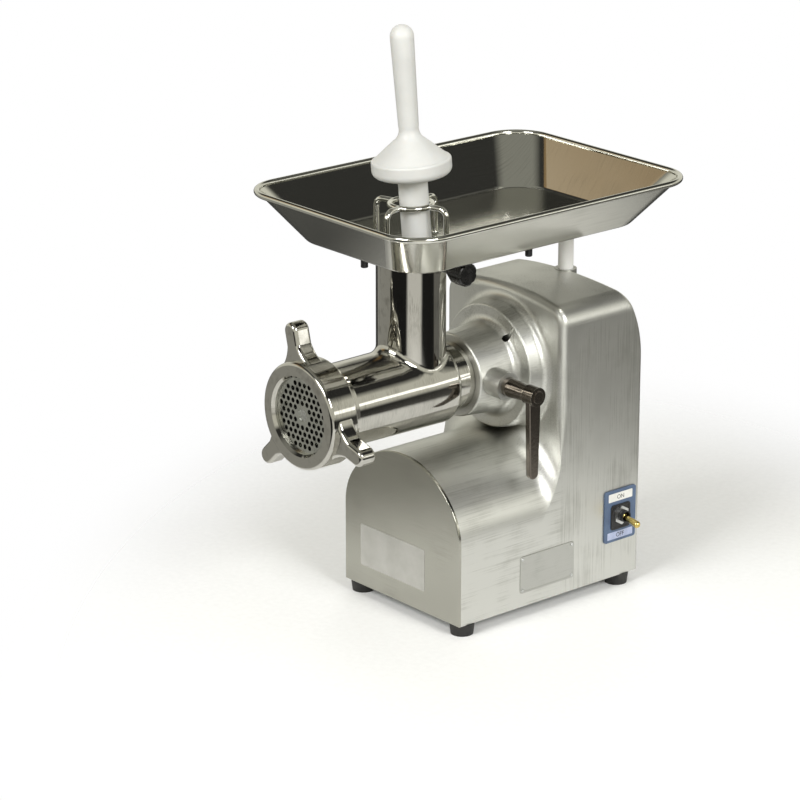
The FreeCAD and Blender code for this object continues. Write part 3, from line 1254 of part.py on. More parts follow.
def ring_nut():
    """Screwed ring that holds the plate and knife in the barrel's mouth."""
    front = RING_FRONT_ROUND * QUARTER
    rear = RING_REAR_ROUND * QUARTER
    band = turned([
        (RING_FRONT, 0), (RING_FRONT, RING_R - RING_FRONT_ROUND),
        (RING_FRONT + RING_FRONT_ROUND, RING_R, RING_FRONT + front, RING_R - front),
        (RING_REAR - RING_REAR_ROUND, RING_R),
        (RING_REAR, RING_R - RING_REAR_ROUND, RING_REAR - rear, RING_R - rear), (RING_REAR, 0),
    ])
    lugs = [ring_lug(LUG_DEG + 360 * index / LUG_COUNT) for index in range(LUG_COUNT)]
    body = band.fuse(lugs)
    lip_y = RING_FRONT + RING_LIP
    bore = turned([
        (RING_FRONT - 1, 0), (RING_FRONT - 1, RING_MOUTH_R + RING_MOUTH_BEVEL),
        (RING_FRONT + RING_MOUTH_BEVEL, RING_MOUTH_R), (lip_y, RING_MOUTH_R), (lip_y, THREAD_R + LOOSE),
        (RING_REAR + 1, THREAD_R + LOOSE), (RING_REAR + 1, 0),
    ])
    return one_solid(body.cut(bore))


def rounded_wire(half, y0, y1, corner_r, z):
    """A rectangle with round corners at height z."""
    sheet = Part.makePlane(2 * half, y1 - y0, point(-half, y0, z))
    slab = sheet.extrude(Z_DIR)
    slab = soften(slab, corner_r, lambda edge: edge.BoundBox.ZLength > 0.5)
    face = [f for f in slab.Faces if f.BoundBox.ZMax < z + 0.01][0]
    return face.OuterWire


def pan_shell(grow, floor_drop, top_z):
    """Solid block inside the pan's sloping walls, grown by the sheet's thickness, with a round fold."""
    floor_z = PAN_FLOOR_Z - floor_drop
    low = rounded_wire(PAN_FLOOR_HALF + grow, PAN_FLOOR_FRONT - grow, PAN_FLOOR_BACK + grow,
                       PAN_FLOOR_CORNER_R + grow, floor_z)
    high = rounded_wire(PAN_HALF - PAN_RIM_R - PAN_T + grow, PAN_FRONT + PAN_RIM_R + PAN_T - grow,
                        PAN_BACK - PAN_RIM_R - PAN_T + grow, PAN_RIM_CORNER_R - PAN_RIM_R + grow, top_z)
    block = Part.makeLoft([low, high], True, True)
    return soften(block, PAN_FOLD_R + grow, lambda edge: edge.BoundBox.ZMax < floor_z + 0.01)


def feed_pan():
    """Pressed sheet tray with sloping walls and a rolled rim."""
    rim_z = PAN_RIM_Z - PAN_RIM_R
    outside = pan_shell(PAN_T, PAN_T, rim_z)
    inside = pan_shell(0, 0, rim_z)
    outside = outside.cut(inside)
    path = rounded_wire(PAN_HALF - PAN_RIM_R, PAN_FRONT + PAN_RIM_R, PAN_BACK - PAN_RIM_R,
                        PAN_RIM_CORNER_R - PAN_RIM_R, rim_z)
    start = path.Edges[0].valueAt(path.Edges[0].FirstParameter)
    heading = path.Edges[0].tangentAt(path.Edges[0].FirstParameter)
    bead = Part.Wire([Part.makeCircle(PAN_RIM_R, start, heading)])
    rim = Part.Wire(path.Edges).makePipeShell([bead], True, False)
    hole = rod(SLEEVE_R + PRESS, point(0, FEED_Y, FEED_TOP - 1), point(0, FEED_Y, PAN_FLOOR_Z + 1))
    return one_solid(outside.fuse(rim).cut(hole))


def pan_spigot():
    """Short sleeve welded in the pan's hole, which locates the pan in the feed tube."""
    low_z = FEED_TOP - SLEEVE_LENGTH
    sleeve = rod(SLEEVE_R, point(0, FEED_Y, low_z), point(0, FEED_Y, PAN_FLOOR_Z))
    bore = rod(SLEEVE_R - SLEEVE_T, point(0, FEED_Y, low_z - 1), point(0, FEED_Y, PAN_FLOOR_Z + 1))
    return sleeve.cut(bore)


def throat_guard():
    """Wire ring over the throat on four bent legs welded to the pan's floor."""
    centre = point(0, FEED_Y, GUARD_Z)
    ring = Part.makeTorus(GUARD_RING_R, GUARD_WIRE_R, centre, Z_DIR)
    bend = math.radians(45)
    legs = []
    for index in range(GUARD_LEGS):
        inner = centre + X_DIR * GUARD_RING_R
        shoulder = centre + X_DIR * (GUARD_LEG_R - GUARD_BEND_R)
        middle = shoulder + point(GUARD_BEND_R * math.sin(bend), 0, -GUARD_BEND_R * (1 - math.cos(bend)))
        knee = shoulder + point(GUARD_BEND_R, 0, -GUARD_BEND_R)
        ankle = point(knee.x, knee.y, PAN_FLOOR_Z)
        path = Part.Wire([
            Part.LineSegment(inner, shoulder).toShape(),
            Part.Arc(shoulder, middle, knee).toShape(),
            Part.LineSegment(knee, ankle).toShape(),
        ])
        wire = Part.Wire([Part.makeCircle(GUARD_WIRE_R, inner, X_DIR)])
        leg = path.makePipeShell([wire], True, False)
        leg.rotate(centre, Z_DIR, GUARD_LEG_DEG + 360 * index / GUARD_LEGS)
        legs.append(leg)
    return one_solid(ring.fuse(legs))


def pan_feet():
    under = FEED_TOP
    places = [(0.0, PEG_FRONT_Y)] + [(side * PEG_SIDE_X, PEG_SIDE_Y) for side in SIDES]
    pegs = []
    for x, y in places:
        peg = rod(PEG_R, point(x, y, under - PEG_H), point(x, y, under))
        pegs.append(soften(peg, PEG_ROUND, lambda edge: edge.BoundBox.ZMax < under - 1
                           and edge.BoundBox.ZLength < 0.01))
    return pegs


def pan_clamp_screw():
    end_x = KNOB_X + KNOB_LENGTH / 2
    return rod(KNOB_SCREW_R, point(FEED_BORE_R, FEED_Y, KNOB_Z), point(end_x, FEED_Y, KNOB_Z))


def pan_clamp_knob():
    """Moulded thumb knob that widens away from the tube, with finger flutes round its end."""
    root = point(KNOB_X, FEED_Y, KNOB_Z)
    waist = point(KNOB_X + KNOB_LENGTH * 0.45, FEED_Y, KNOB_Z)
    end = point(KNOB_X + KNOB_LENGTH, FEED_Y, KNOB_Z)
    stem = rod(KNOB_ROOT_R, point(KNOB_BOSS_X + LOOSE, FEED_Y, KNOB_Z), root)
    knob = taper(KNOB_ROOT_R, KNOB_R, root, waist).fuse([rod(KNOB_R, waist, end), stem])
    knob = one_solid(knob)
    knob = soften(knob, KNOB_ROUND, lambda edge: edge.BoundBox.XMin > end.x - 0.01)
    flutes = []
    for index in range(KNOB_FLUTES):
        angle = math.radians(360 * index / KNOB_FLUTES)
        side = point(0, (KNOB_R + 1) * math.cos(angle), (KNOB_R + 1) * math.sin(angle))
        flutes.append(rod(KNOB_FLUTE_R, waist + side - X_DIR * 6, end + side + X_DIR))
    bore = rod(KNOB_SCREW_R + PRESS, point(KNOB_BOSS_X, FEED_Y, KNOB_Z),
               point(KNOB_X + KNOB_LENGTH / 2 + PRESS, FEED_Y, KNOB_Z))
    return one_solid(knob.cut(flutes + [bore]))


def pusher():
    """Turned white plastic stomper: shank, broad guard flange under a cone, and a grip with a round end."""
    side_z = PUSHER_FLANGE_Z + PUSHER_FLANGE_EDGE
    brow_z = side_z + PUSHER_FLANGE_SIDE
    cone_z = brow_z + PUSHER_FLANGE_BROW
    neck_z = cone_z + PUSHER_CONE_H
    grip_foot = neck_z + PUSHER_NECK_H
    edge_r = PUSHER_FLANGE_R - PUSHER_FLANGE_EDGE
    edge = PUSHER_FLANGE_EDGE * QUARTER
    brow_r = PUSHER_FLANGE_R - PUSHER_FLANGE_BROW
    brow = PUSHER_FLANGE_BROW * QUARTER
    dome_z = PUSHER_TOP - PUSHER_GRIP_TOP_R
    dome = PUSHER_GRIP_TOP_R * QUARTER
    blunt_r = PUSHER_SHANK_R - PUSHER_BLUNT
    blunt_z = PUSHER_TIP + PUSHER_BLUNT
    blunt = PUSHER_BLUNT * QUARTER
    waist_r = PUSHER_GRIP_R + (PUSHER_CONE_R - PUSHER_GRIP_R) * 0.3
    waist_z = neck_z + PUSHER_NECK_H * 0.3
    def at(radius, z):
        return point(radius, 0, z)
    def line(start, end):
        return Part.LineSegment(start, end).toShape()
    def arc(start, middle, end):
        return Part.Arc(start, middle, end).toShape()
    edges = [
        line(at(0, PUSHER_TIP), at(blunt_r, PUSHER_TIP)),
        arc(at(blunt_r, PUSHER_TIP), at(PUSHER_SHANK_R - blunt, PUSHER_TIP + blunt),
            at(PUSHER_SHANK_R, blunt_z)),
        line(at(PUSHER_SHANK_R, blunt_z), at(PUSHER_SHANK_R, PUSHER_FLANGE_Z)),
        line(at(PUSHER_SHANK_R, PUSHER_FLANGE_Z), at(edge_r, PUSHER_FLANGE_Z)),
        arc(at(edge_r, PUSHER_FLANGE_Z), at(PUSHER_FLANGE_R - edge, PUSHER_FLANGE_Z + edge),
            at(PUSHER_FLANGE_R, side_z)),
        line(at(PUSHER_FLANGE_R, side_z), at(PUSHER_FLANGE_R, brow_z)),
        arc(at(PUSHER_FLANGE_R, brow_z), at(PUSHER_FLANGE_R - brow, cone_z - brow), at(brow_r, cone_z)),
        line(at(brow_r, cone_z), at(PUSHER_CONE_R, neck_z)),
        arc(at(PUSHER_CONE_R, neck_z), at(waist_r, waist_z), at(PUSHER_GRIP_R, grip_foot)),
        line(at(PUSHER_GRIP_R, grip_foot), at(PUSHER_GRIP_TOP_R, dome_z)),
        arc(at(PUSHER_GRIP_TOP_R, dome_z), at(PUSHER_GRIP_TOP_R - dome, PUSHER_TOP - dome),
            at(0, PUSHER_TOP)),
        line(at(0, PUSHER_TOP), at(0, PUSHER_TIP)),
    ]
    solid = Part.Face(Part.Wire(edges)).revolve(point(0, 0, 0), Z_DIR, 360)
    heading = math.radians(PUSHER_LEAN_HEADING_DEG)
    lean = point(math.cos(heading), math.sin(heading), 0)
    solid.rotate(point(0, 0, GUARD_Z), Z_DIR.cross(lean), PUSHER_LEAN_DEG)
    half_width = PUSHER_SHANK_R / math.cos(math.radians(PUSHER_LEAN_DEG))
    spare = GUARD_RING_R - GUARD_WIRE_R - half_width - LOOSE
    solid.translate(point(0, FEED_Y, 0) - lean * spare)
    return solid


os.makedirs("parts", exist_ok=True)
export("main_housing", main_housing())
export("front_cover", front_cover())
export("front_cover_nuts", *front_cover_nuts())
export("base_plate", base_plate())
export("base_plate_screws", *base_plate_screws())
for corner, place in zip(("front_left", "front_right", "rear_left", "rear_right"), foot_places()):
    export("foot_" + corner, rubber_foot(*place))
export("foot_screws", *foot_screws())
export("rear_cover", rear_cover())
export("rear_cover_screws", *rear_cover_screws())
export("cord_gland", cord_gland())
export("gear_plate_front", gear_plate_front())
export("gear_plate_rear", gear_plate_rear())
export("gear_plate_pillars", *gear_plate_pillars())
export("motor_stator", motor_stator())
export("motor_windings", *motor_windings())
export("motor_front_bell", motor_front_bell())
export("motor_rear_bell", motor_rear_bell())
export("motor_bearings", *motor_bearings())
export("motor_shaft", motor_shaft())
export("motor_rotor", motor_rotor())
export("motor_pinion", motor_pinion())
export("cooling_fan", cooling_fan())
export("layshaft", layshaft())
export("layshaft_gear", layshaft_gear())
export("layshaft_pinion", layshaft_pinion())
export("layshaft_bearings", *layshaft_bearings())
export("output_shaft", output_shaft())
export("output_gear", output_gear())
export("output_front_bearing", output_front_bearing())
export("output_rear_bearing", output_rear_bearing())
export("oil_seal", oil_seal())
export("run_capacitor", run_capacitor())
export("switch_plate", switch_plate())
export("switch_body", switch_body())
export("switch_nut", switch_nut())
export("toggle_lever", toggle_lever())
export("clamp_screw", clamp_screw())
export("clamp_lever", clamp_lever())
export("grinder_head", grinder_head())
export("auger_bush", auger_bush())
export("plate_key_pin", plate_key_pin())
export("auger", auger())
export("thrust_washer", thrust_washer())
export("knife", knife())
export("grinding_plate", grinding_plate())
export("ring_nut", ring_nut())
export("feed_pan", feed_pan())
export("pan_spigot", pan_spigot())
export("throat_guard", throat_guard())
export("pan_feet", *pan_feet())
export("pan_clamp_screw", pan_clamp_screw())
export("pan_clamp_knob", pan_clamp_knob())
export("pan_support_post", pan_support_post())
export("pusher", pusher())
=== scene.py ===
import bmesh
import bpy
import math
from mathutils import Matrix, Vector


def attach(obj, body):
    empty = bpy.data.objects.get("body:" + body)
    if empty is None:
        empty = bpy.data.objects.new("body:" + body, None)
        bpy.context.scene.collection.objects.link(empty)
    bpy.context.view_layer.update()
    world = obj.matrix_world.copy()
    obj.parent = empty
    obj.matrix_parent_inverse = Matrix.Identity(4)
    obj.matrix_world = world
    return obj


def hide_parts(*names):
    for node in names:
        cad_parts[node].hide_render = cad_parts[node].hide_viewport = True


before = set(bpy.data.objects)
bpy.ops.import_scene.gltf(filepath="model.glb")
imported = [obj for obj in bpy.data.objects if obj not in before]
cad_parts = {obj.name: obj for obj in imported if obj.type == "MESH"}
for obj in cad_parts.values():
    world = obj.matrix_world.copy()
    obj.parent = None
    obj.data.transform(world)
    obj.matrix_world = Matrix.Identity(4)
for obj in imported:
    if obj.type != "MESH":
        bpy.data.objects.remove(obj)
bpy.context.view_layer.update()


# Rubber feet: four moulded natural-rubber buffers under the corners of the body.
# Each is a taper with a sunk hole, held by one screw up into the base plate.
def tone(code):
    """Linear colour of an sRGB hex value."""
    parts = [int(code[i:i + 2], 16) / 255 for i in (1, 3, 5)]
    return [c / 12.92 if c <= 0.04045 else ((c + 0.055) / 1.055) ** 2.4 for c in parts] + [1.0]


def per(size_mm):
    """How often a pattern of this size comes in a metre."""
    return 1000.0 / size_mm


def add(owner, kind, inputs=None, stops=(), **settings):
    """One node with its settings, its inputs as values or links, and a colour ramp's stops."""
    node = owner.node_tree.nodes.new("ShaderNode" + kind)
    for name, value in settings.items():
        setattr(node, name, value)
    for name, value in (inputs or {}).items():
        if isinstance(value, bpy.types.NodeSocket):
            owner.node_tree.links.new(value, node.inputs[name])
        else:
            node.inputs[name].default_value = value
    for index, (spot, code) in enumerate(stops):
        points = node.color_ramp.elements
        point = points[index] if index < 2 else points.new(spot)
        point.position = spot
        point.color = tone(code)
    return node


def new_finish(name):
    """An empty material and the place of each point on its piece."""
    material = bpy.data.materials.new(name)
    material.use_nodes = True
    material.node_tree.nodes.clear()
    return material, add(material, "TexCoord").outputs["Object"]


def dress(material, *names):
    """Gives CAD nodes their finish."""
    for name in names:
        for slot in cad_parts[name].material_slots:
            slot.material = material


# Moulded rubber: matt near-black with a greyer bloom, and a fine spark-eroded mould grain of 0.5 mm.
moulded_rubber, place = new_finish("moulded_black_rubber")
bloom = add(moulded_rubber, "TexNoise", {"Vector": place, "Scale": per(9), "Detail": 5.0})
grain = add(moulded_rubber, "TexNoise", {"Vector": place, "Scale": per(0.5), "Detail": 2.0})
colour = add(moulded_rubber, "ValToRGB", {"Fac": bloom.outputs["Fac"]},
             [(0.35, "#121211"), (0.7, "#2b2a28")])
rough = add(moulded_rubber, "MapRange", {"Value": bloom.outputs["Fac"], "To Min": 0.55, "To Max": 0.8})
bump = add(moulded_rubber, "Bump", {"Height": grain.outputs["Fac"], "Strength": 0.6, "Distance": 0.0001})
shader = add(moulded_rubber, "BsdfPrincipled", {"Base Color": colour.outputs["Color"], "IOR": 1.52,
             "Roughness": rough.outputs["Result"], "Normal": bump.outputs["Normal"]})
add(moulded_rubber, "OutputMaterial", {"Surface": shader.outputs["BSDF"]})
dress(moulded_rubber, "foot_front_left", "foot_front_right", "foot_rear_left", "foot_rear_right")


# Fixings: zinc-plated steel screws, nuts and pillars, turned or cold headed.
# They hold the feet, the base plate and the covers, and space the gear plates.
def metal_finish(name, dark, light, rough, lay_mm, cut_mm, cloud_mm, wave_mm=None, swell_mm=0.0):
    """A metal with a worked lay.

    dark and light are its tarnish tones, rough its range of roughness, lay_mm the size of the
    tool marks along each axis, cut_mm their depth, cloud_mm the size of the tarnish clouds, and
    wave_mm and swell_mm the size and height of the slow waves that hand polishing leaves.
    """
    material, place = new_finish(name)
    lay = add(material, "Mapping", {"Vector": place, "Scale": [per(size) for size in lay_mm]})
    marks = add(material, "TexNoise", {"Vector": lay.outputs["Vector"], "Scale": 1.0, "Detail": 3.0})
    cloud = add(material, "TexNoise", {"Vector": place, "Scale": per(cloud_mm), "Detail": 5.0})
    worn = add(material, "Math", {0: cloud.outputs["Fac"], 1: marks.outputs["Fac"]}, operation="ADD")
    colour = add(material, "ValToRGB", {"Fac": worn.outputs["Value"]}, [(0.7, dark), (1.0, light)])
    gloss = add(material, "MapRange", {"Value": worn.outputs["Value"], "From Min": 0.7, "From Max": 1.3,
                "To Min": rough[1], "To Max": rough[0]})
    bump = add(material, "Bump", {"Height": marks.outputs["Fac"], "Strength": 1.0,
               "Distance": cut_mm / 1000})
    if wave_mm:
        wave = add(material, "TexNoise", {"Vector": place, "Scale": per(wave_mm), "Detail": 1.0})
        bump = add(material, "Bump", {"Height": wave.outputs["Fac"], "Strength": 1.0,
                   "Distance": swell_mm / 1000, "Normal": bump.outputs["Normal"]})
    shader = add(material, "BsdfPrincipled", {"Base Color": colour.outputs["Color"], "Metallic": 1.0,
                 "Roughness": gloss.outputs["Result"], "Normal": bump.outputs["Normal"]})
    add(material, "OutputMaterial", {"Surface": shader.outputs["BSDF"]})
    return material


# Bright zinc plate: a cool silver with faint clouds, satin from the tumbling barrel.
zinc_plate = metal_finish("zinc_plated_steel", "#b0b1b1", "#cfd0cf", (0.22, 0.4), (0.4, 0.4, 0.4), 0.004, 5)
dress(zinc_plate, "foot_screws", "front_cover_nuts", "gear_plate_pillars", "base_plate_screws")


# Base plate: 3 mm galvanised sheet that closes the bottom of the casting.
# It is cut and slotted flat, and held by six screws.
# Galvanised sheet: dull silver broken into zinc crystals of about 7 mm, each a little lighter or darker.
galvanised, place = new_finish("galvanised_steel_sheet")
spangle = add(galvanised, "TexVoronoi", {"Vector": place, "Scale": per(7)})
stain = add(galvanised, "TexNoise", {"Vector": place, "Scale": per(30), "Detail": 6.0})
mixed = add(galvanised, "Math", {0: spangle.outputs["Color"], 1: 0.35, 2: stain.outputs["Fac"]},
            operation="MULTIPLY_ADD")
colour = add(galvanised, "ValToRGB", {"Fac": mixed.outputs["Value"]}, [(0.4, "#84878a"), (0.95, "#b9bcbd")])
rough = add(galvanised, "MapRange", {"Value": mixed.outputs["Value"], "From Max": 1.3, "To Min": 0.36,
            "To Max": 0.56})
bump = add(galvanised, "Bump", {"Height": stain.outputs["Fac"], "Strength": 0.5, "Distance": 0.0001})
shader = add(galvanised, "BsdfPrincipled", {"Base Color": colour.outputs["Color"], "Metallic": 1.0,
             "Roughness": rough.outputs["Result"], "Normal": bump.outputs["Normal"]})
add(galvanised, "OutputMaterial", {"Surface": shader.outputs["BSDF"]})
dress(galvanised, "base_plate")


# Cast body: one aluminium sand casting, with the motor tunnel, the gear case and the neck in one.
# It is linished all over and buffed satin: up and down on the gear case, along the tunnel in front.
# Buffed cast aluminium: light grey with long soft streaks, a few pores, slow waves under the gloss, and
# painted shade in its corners.
casting, place = new_finish("buffed_cast_aluminium")
upright_front = 0.0605
upward = add(casting, "Mapping", {"Vector": place, "Scale": [per(1.1), per(1.1), per(60)]})
along = add(casting, "Mapping", {"Vector": place, "Scale": [per(1.3), per(70), per(1.3)]})
streak_up = add(casting, "TexNoise", {"Vector": upward.outputs["Vector"], "Scale": 1.0, "Detail": 4.0})
streak_on = add(casting, "TexNoise", {"Vector": along.outputs["Vector"], "Scale": 1.0, "Detail": 4.0})
axes = add(casting, "SeparateXYZ", {"Vector": place})
on_case = add(casting, "MapRange", {"Value": axes.outputs["Y"], "From Min": upright_front - 0.004,
              "From Max": upright_front + 0.006})
streak = add(casting, "Mix", {0: on_case.outputs["Result"], 2: streak_on.outputs["Fac"],
             3: streak_up.outputs["Fac"]})
cloud = add(casting, "TexNoise", {"Vector": place, "Scale": per(45), "Detail": 5.0, "Roughness": 0.55})
skin = add(casting, "TexNoise", {"Vector": place, "Scale": per(0.9), "Detail": 3.0})
pores = add(casting, "TexVoronoi", {"Vector": place, "Scale": per(4)})
pore = add(casting, "MapRange", {"Value": pores.outputs["Distance"], "From Min": 0.03, "From Max": 0.12})
worn = add(casting, "Math", {0: streak.outputs[0], 1: cloud.outputs["Fac"]}, operation="ADD")
tarnish = add(casting, "ValToRGB", {"Fac": worn.outputs["Value"]},
              [(0.68, "#b3b3ad"), (1.3, "#cfcfca")])
# Painted shade: the colour darkens toward #6f6d64 in corners and recesses, as far as ambient occlusion
# finds them shut in.
corner = add(casting, "AmbientOcclusion", {"Distance": 0.012}, samples=6)
painted_corner_shade = add(casting, "MapRange", {"Value": corner.outputs["AO"], "From Min": 0.25, "From Max": 0.8})
colour = add(casting, "Mix", {0: painted_corner_shade.outputs["Result"], 6: tone("#6f6d64"),
             7: tarnish.outputs["Color"]}, data_type="RGBA")
rough = add(casting, "MapRange", {"Value": worn.outputs["Value"], "From Min": 0.6, "From Max": 1.4,
            "To Min": 0.45, "To Max": 0.35})
relief = add(casting, "Math", {0: skin.outputs["Fac"], 1: 0.5, 2: streak.outputs[0]},
             operation="MULTIPLY_ADD")
bump = add(casting, "Bump", {"Height": relief.outputs["Value"], "Strength": 1.0, "Distance": 0.000012})
pitted = add(casting, "Bump", {"Height": pore.outputs["Result"], "Strength": 0.5, "Distance": 0.00008,
             "Normal": bump.outputs["Normal"]})
swell = add(casting, "TexNoise", {"Vector": place, "Scale": per(38), "Detail": 1.0})
waved = add(casting, "Bump", {"Height": swell.outputs["Fac"], "Strength": 1.0, "Distance": 0.0004,
            "Normal": pitted.outputs["Normal"]})
shader = add(casting, "BsdfPrincipled", {"Base Color": colour.outputs[2], "Metallic": 1.0,
             "Roughness": rough.outputs["Result"], "Normal": waved.outputs["Normal"]})
add(casting, "OutputMaterial", {"Surface": shader.outputs["BSDF"]})
dress(casting, "main_housing")


# Motor: a four-pole induction motor in the tunnel, its stack clamped between two cast end bells.
# The rotor turns in ball bearings, and a moulded fan on its front end draws air through the base.
# As-cast aluminium: dull grey with the 1.2 mm grain of the sand mould.
raw_casting = metal_finish("sand_cast_aluminium", "#8b8b87", "#b4b4af", (0.45, 0.62), (1.2, 1.2, 1.2),
                           0.12, 18)
dress(raw_casting, "motor_front_bell", "motor_rear_bell")

# Laminated core: blue-grey steel sheets of 0.5 mm on edge, drawn as steps of 1 mm so that they show.
core_steel = metal_finish("laminated_core_steel", "#4a4d52", "#8d9096", (0.35, 0.55), (30, 1.0, 30),
                          0.08, 14)
dress(core_steel, "motor_stator", "motor_rotor")

# Ball bearing steel: ground rings, bright and almost a mirror.
bearing_steel = metal_finish("ground_bearing_steel", "#a9abad", "#e0e1e2", (0.1, 0.24), (6, 0.3, 6),
                             0.002, 8)
dress(bearing_steel, "motor_bearings", "layshaft_bearings", "output_front_bearing", "output_rear_bearing")

# Machined shaft and gear steel: grey, with turning marks of 0.4 mm and a film of oil.
gear_steel = metal_finish("machined_gear_steel", "#6b6d70", "#a5a7a9", (0.2, 0.36), (8, 0.4, 8), 0.006, 10)
dress(gear_steel, "motor_shaft", "motor_pinion", "layshaft", "layshaft_gear", "layshaft_pinion",
      "output_shaft", "output_gear")

# Enamelled copper wire: strands of 1 mm wound round the slots under a thin varnish.
winding, place = new_finish("enamelled_copper_winding")
strand = add(winding, "TexWave", {"Vector": place, "Scale": per(1.0) / math.tau, "Distortion": 3.0,
             "Detail": 2.0, "Detail Scale": 0.5}, bands_direction="Z")
colour = add(winding, "ValToRGB", {"Fac": strand.outputs["Fac"]}, [(0.1, "#5a2710"), (0.8, "#c0703a")])
rough = add(winding, "MapRange", {"Value": strand.outputs["Fac"], "To Min": 0.4, "To Max": 0.22})
bump = add(winding, "Bump", {"Height": strand.outputs["Fac"], "Strength": 1.0, "Distance": 0.0004})
shader = add(winding, "BsdfPrincipled", {"Base Color": colour.outputs["Color"], "Metallic": 0.8,
             "Roughness": rough.outputs["Result"], "Normal": bump.outputs["Normal"], "Coat Weight": 0.6,
             "Coat Roughness": 0.12})
add(winding, "OutputMaterial", {"Surface": shader.outputs["BSDF"]})
dress(winding, "motor_windings")


def moulded_plastic(name, dark, light, rough, grain_mm, relief_mm, scuff_mm, through=0.0):
    """A plastic or a film: scuffed tone, roughness, surface grain, and how far light goes through it."""
    material, place = new_finish(name)
    scuff = add(material, "TexNoise", {"Vector": place, "Scale": per(scuff_mm), "Detail": 6.0,
                "Roughness": 0.6})
    grain = add(material, "TexNoise", {"Vector": place, "Scale": per(grain_mm), "Detail": 2.0})
    colour = add(material, "ValToRGB", {"Fac": scuff.outputs["Fac"]}, [(0.35, dark), (0.62, light)])
    gloss = add(material, "MapRange", {"Value": scuff.outputs["Fac"], "From Min": 0.3, "From Max": 0.7,
                "To Min": rough[0], "To Max": rough[1]})
    bump = add(material, "Bump", {"Height": grain.outputs["Fac"], "Strength": 1.0,
               "Distance": relief_mm / 1000})
    shader = add(material, "BsdfPrincipled", {"Base Color": colour.outputs["Color"], "IOR": 1.5,
                 "Roughness": gloss.outputs["Result"], "Normal": bump.outputs["Normal"],
                 "Subsurface Weight": through, "Subsurface Radius": [0.006, 0.005, 0.004],
                 "Subsurface Scale": 0.5})
    add(material, "OutputMaterial", {"Surface": shader.outputs["BSDF"]})
    return material


# Grey nylon of the fan and the capacitor's case: dull and slightly mottled, as it leaves the mould.
grey_nylon = moulded_plastic("moulded_grey_nylon", "#5d6064", "#74777b", (0.4, 0.6), 0.6, 0.01, 12)
dress(grey_nylon, "cooling_fan", "run_capacitor")


# Gear train: two stages of spur gears between a pair of cast plates, up to the output shaft in the neck.
# A lip seal in front of the last bearing keeps the oil from the head.
dress(raw_casting, "gear_plate_front", "gear_plate_rear")
# Seal rubber: nitrile with an oily half shine.
seal_rubber = moulded_plastic("nitrile_seal_rubber", "#141312", "#262422", (0.3, 0.5), 0.4, 0.01, 6)
dress(seal_rubber, "oil_seal")


# Front cover: a 3 mm aluminium plate cut to the arch of the tunnel, polished to a soft mirror.
# Studs on its back hold it, so that its face is bare but for a blank label.
# Polished sheet: a cool mid grey that blurs what it mirrors, with straight polishing lines across.
polished_sheet = metal_finish("polished_aluminium_sheet", "#9d9c93", "#aaa9a0", (0.15, 0.19),
                              (40, 0.5, 0.5), 0.0006, 60, 55, 0.12)
dress(polished_sheet, "front_cover", "rear_cover")

on_front = Matrix(((1, 0, 0, 0), (0, 0, -1, 0), (0, 1, 0, 0), (0, 0, 0, 1)))
on_side = Matrix(((0, 0, 1, 0), (1, 0, 0, 0), (0, 1, 0, 0), (0, 0, 0, 1)))
on_rear = Matrix(((-1, 0, 0, 0), (0, 0, 1, 0), (0, 1, 0, 0), (0, 0, 0, 1)))


def thin_plate(width, height, thick, corner, edge, border=None):
    """A flat plate on z = 0 with round corners and an eased front edge.

    border, where the front has one, is its width, its slope's width, and how deep the face lies.
    """
    bm = bmesh.new()
    bmesh.ops.create_cube(bm, size=1.0)
    bmesh.ops.scale(bm, vec=(width, height, thick), verts=bm.verts)
    bmesh.ops.translate(bm, vec=(0, 0, thick / 2), verts=bm.verts)
    uprights = [e for e in bm.edges if abs(e.verts[0].co.z - e.verts[1].co.z) > thick / 2]
    bmesh.ops.bevel(bm, geom=uprights, offset=corner, offset_type="OFFSET", segments=6, profile=0.5,
                    affect="EDGES", material=-1)
    rim = [e for e in bm.edges if all(v.co.z > thick * 0.9 for v in e.verts)]
    bmesh.ops.bevel(bm, geom=rim, offset=edge, offset_type="OFFSET", segments=2, profile=0.5,
                    affect="EDGES", material=-1)
    if border:
        flat, slope, sink = border
        face = max(bm.faces, key=lambda f: (f.calc_center_median().z, f.calc_area()))
        bmesh.ops.inset_region(bm, faces=[face], thickness=flat, depth=0.0)
        bmesh.ops.inset_region(bm, faces=[face], thickness=slope, depth=-sink)
    return bm


def set_on(bm, facing, spot):
    """Turns a shape to face one side of the body, and puts it at its spot."""
    bmesh.ops.transform(bm, matrix=Matrix.Translation(spot) @ facing, verts=bm.verts)
    return bm


def fit(name, bm, material, body, slot, *replaced):
    """Makes the piece with its material, lets it move with its body, and hides the nodes it replaces."""
    bmesh.ops.remove_doubles(bm, verts=bm.verts, dist=1e-7)
    bmesh.ops.recalc_face_normals(bm, faces=bm.faces)
    mesh = bpy.data.meshes.new(name)
    bm.to_mesh(mesh)
    bm.free()
    mesh.shade_smooth()
    mesh.set_sharp_from_angle(angle=math.radians(20))
    mesh.materials.append(material)
    piece = bpy.data.objects.new(name, mesh)
    bpy.context.scene.collection.objects.link(piece)
    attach(piece, body)
    if replaced:
        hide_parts(*replaced)


# Silver film: an even pale grey with a soft gloss.
silver_film = moulded_plastic("silver_polyester_film", "#a2a19b", "#adaca7", (0.28, 0.4), 1.5, 0.006, 25)
film_thick, film_edge = 0.0003, 0.0001
label_spot = (-0.013, -0.0705, 0.0555)
label = thin_plate(0.096, 0.043, film_thick, corner=0.002, edge=film_edge,
                   border=(0.0012, 0.0002, 0.0001))
fit("blank_cover_label", set_on(label, on_front, label_spot), silver_film, "base", "white_plastic")


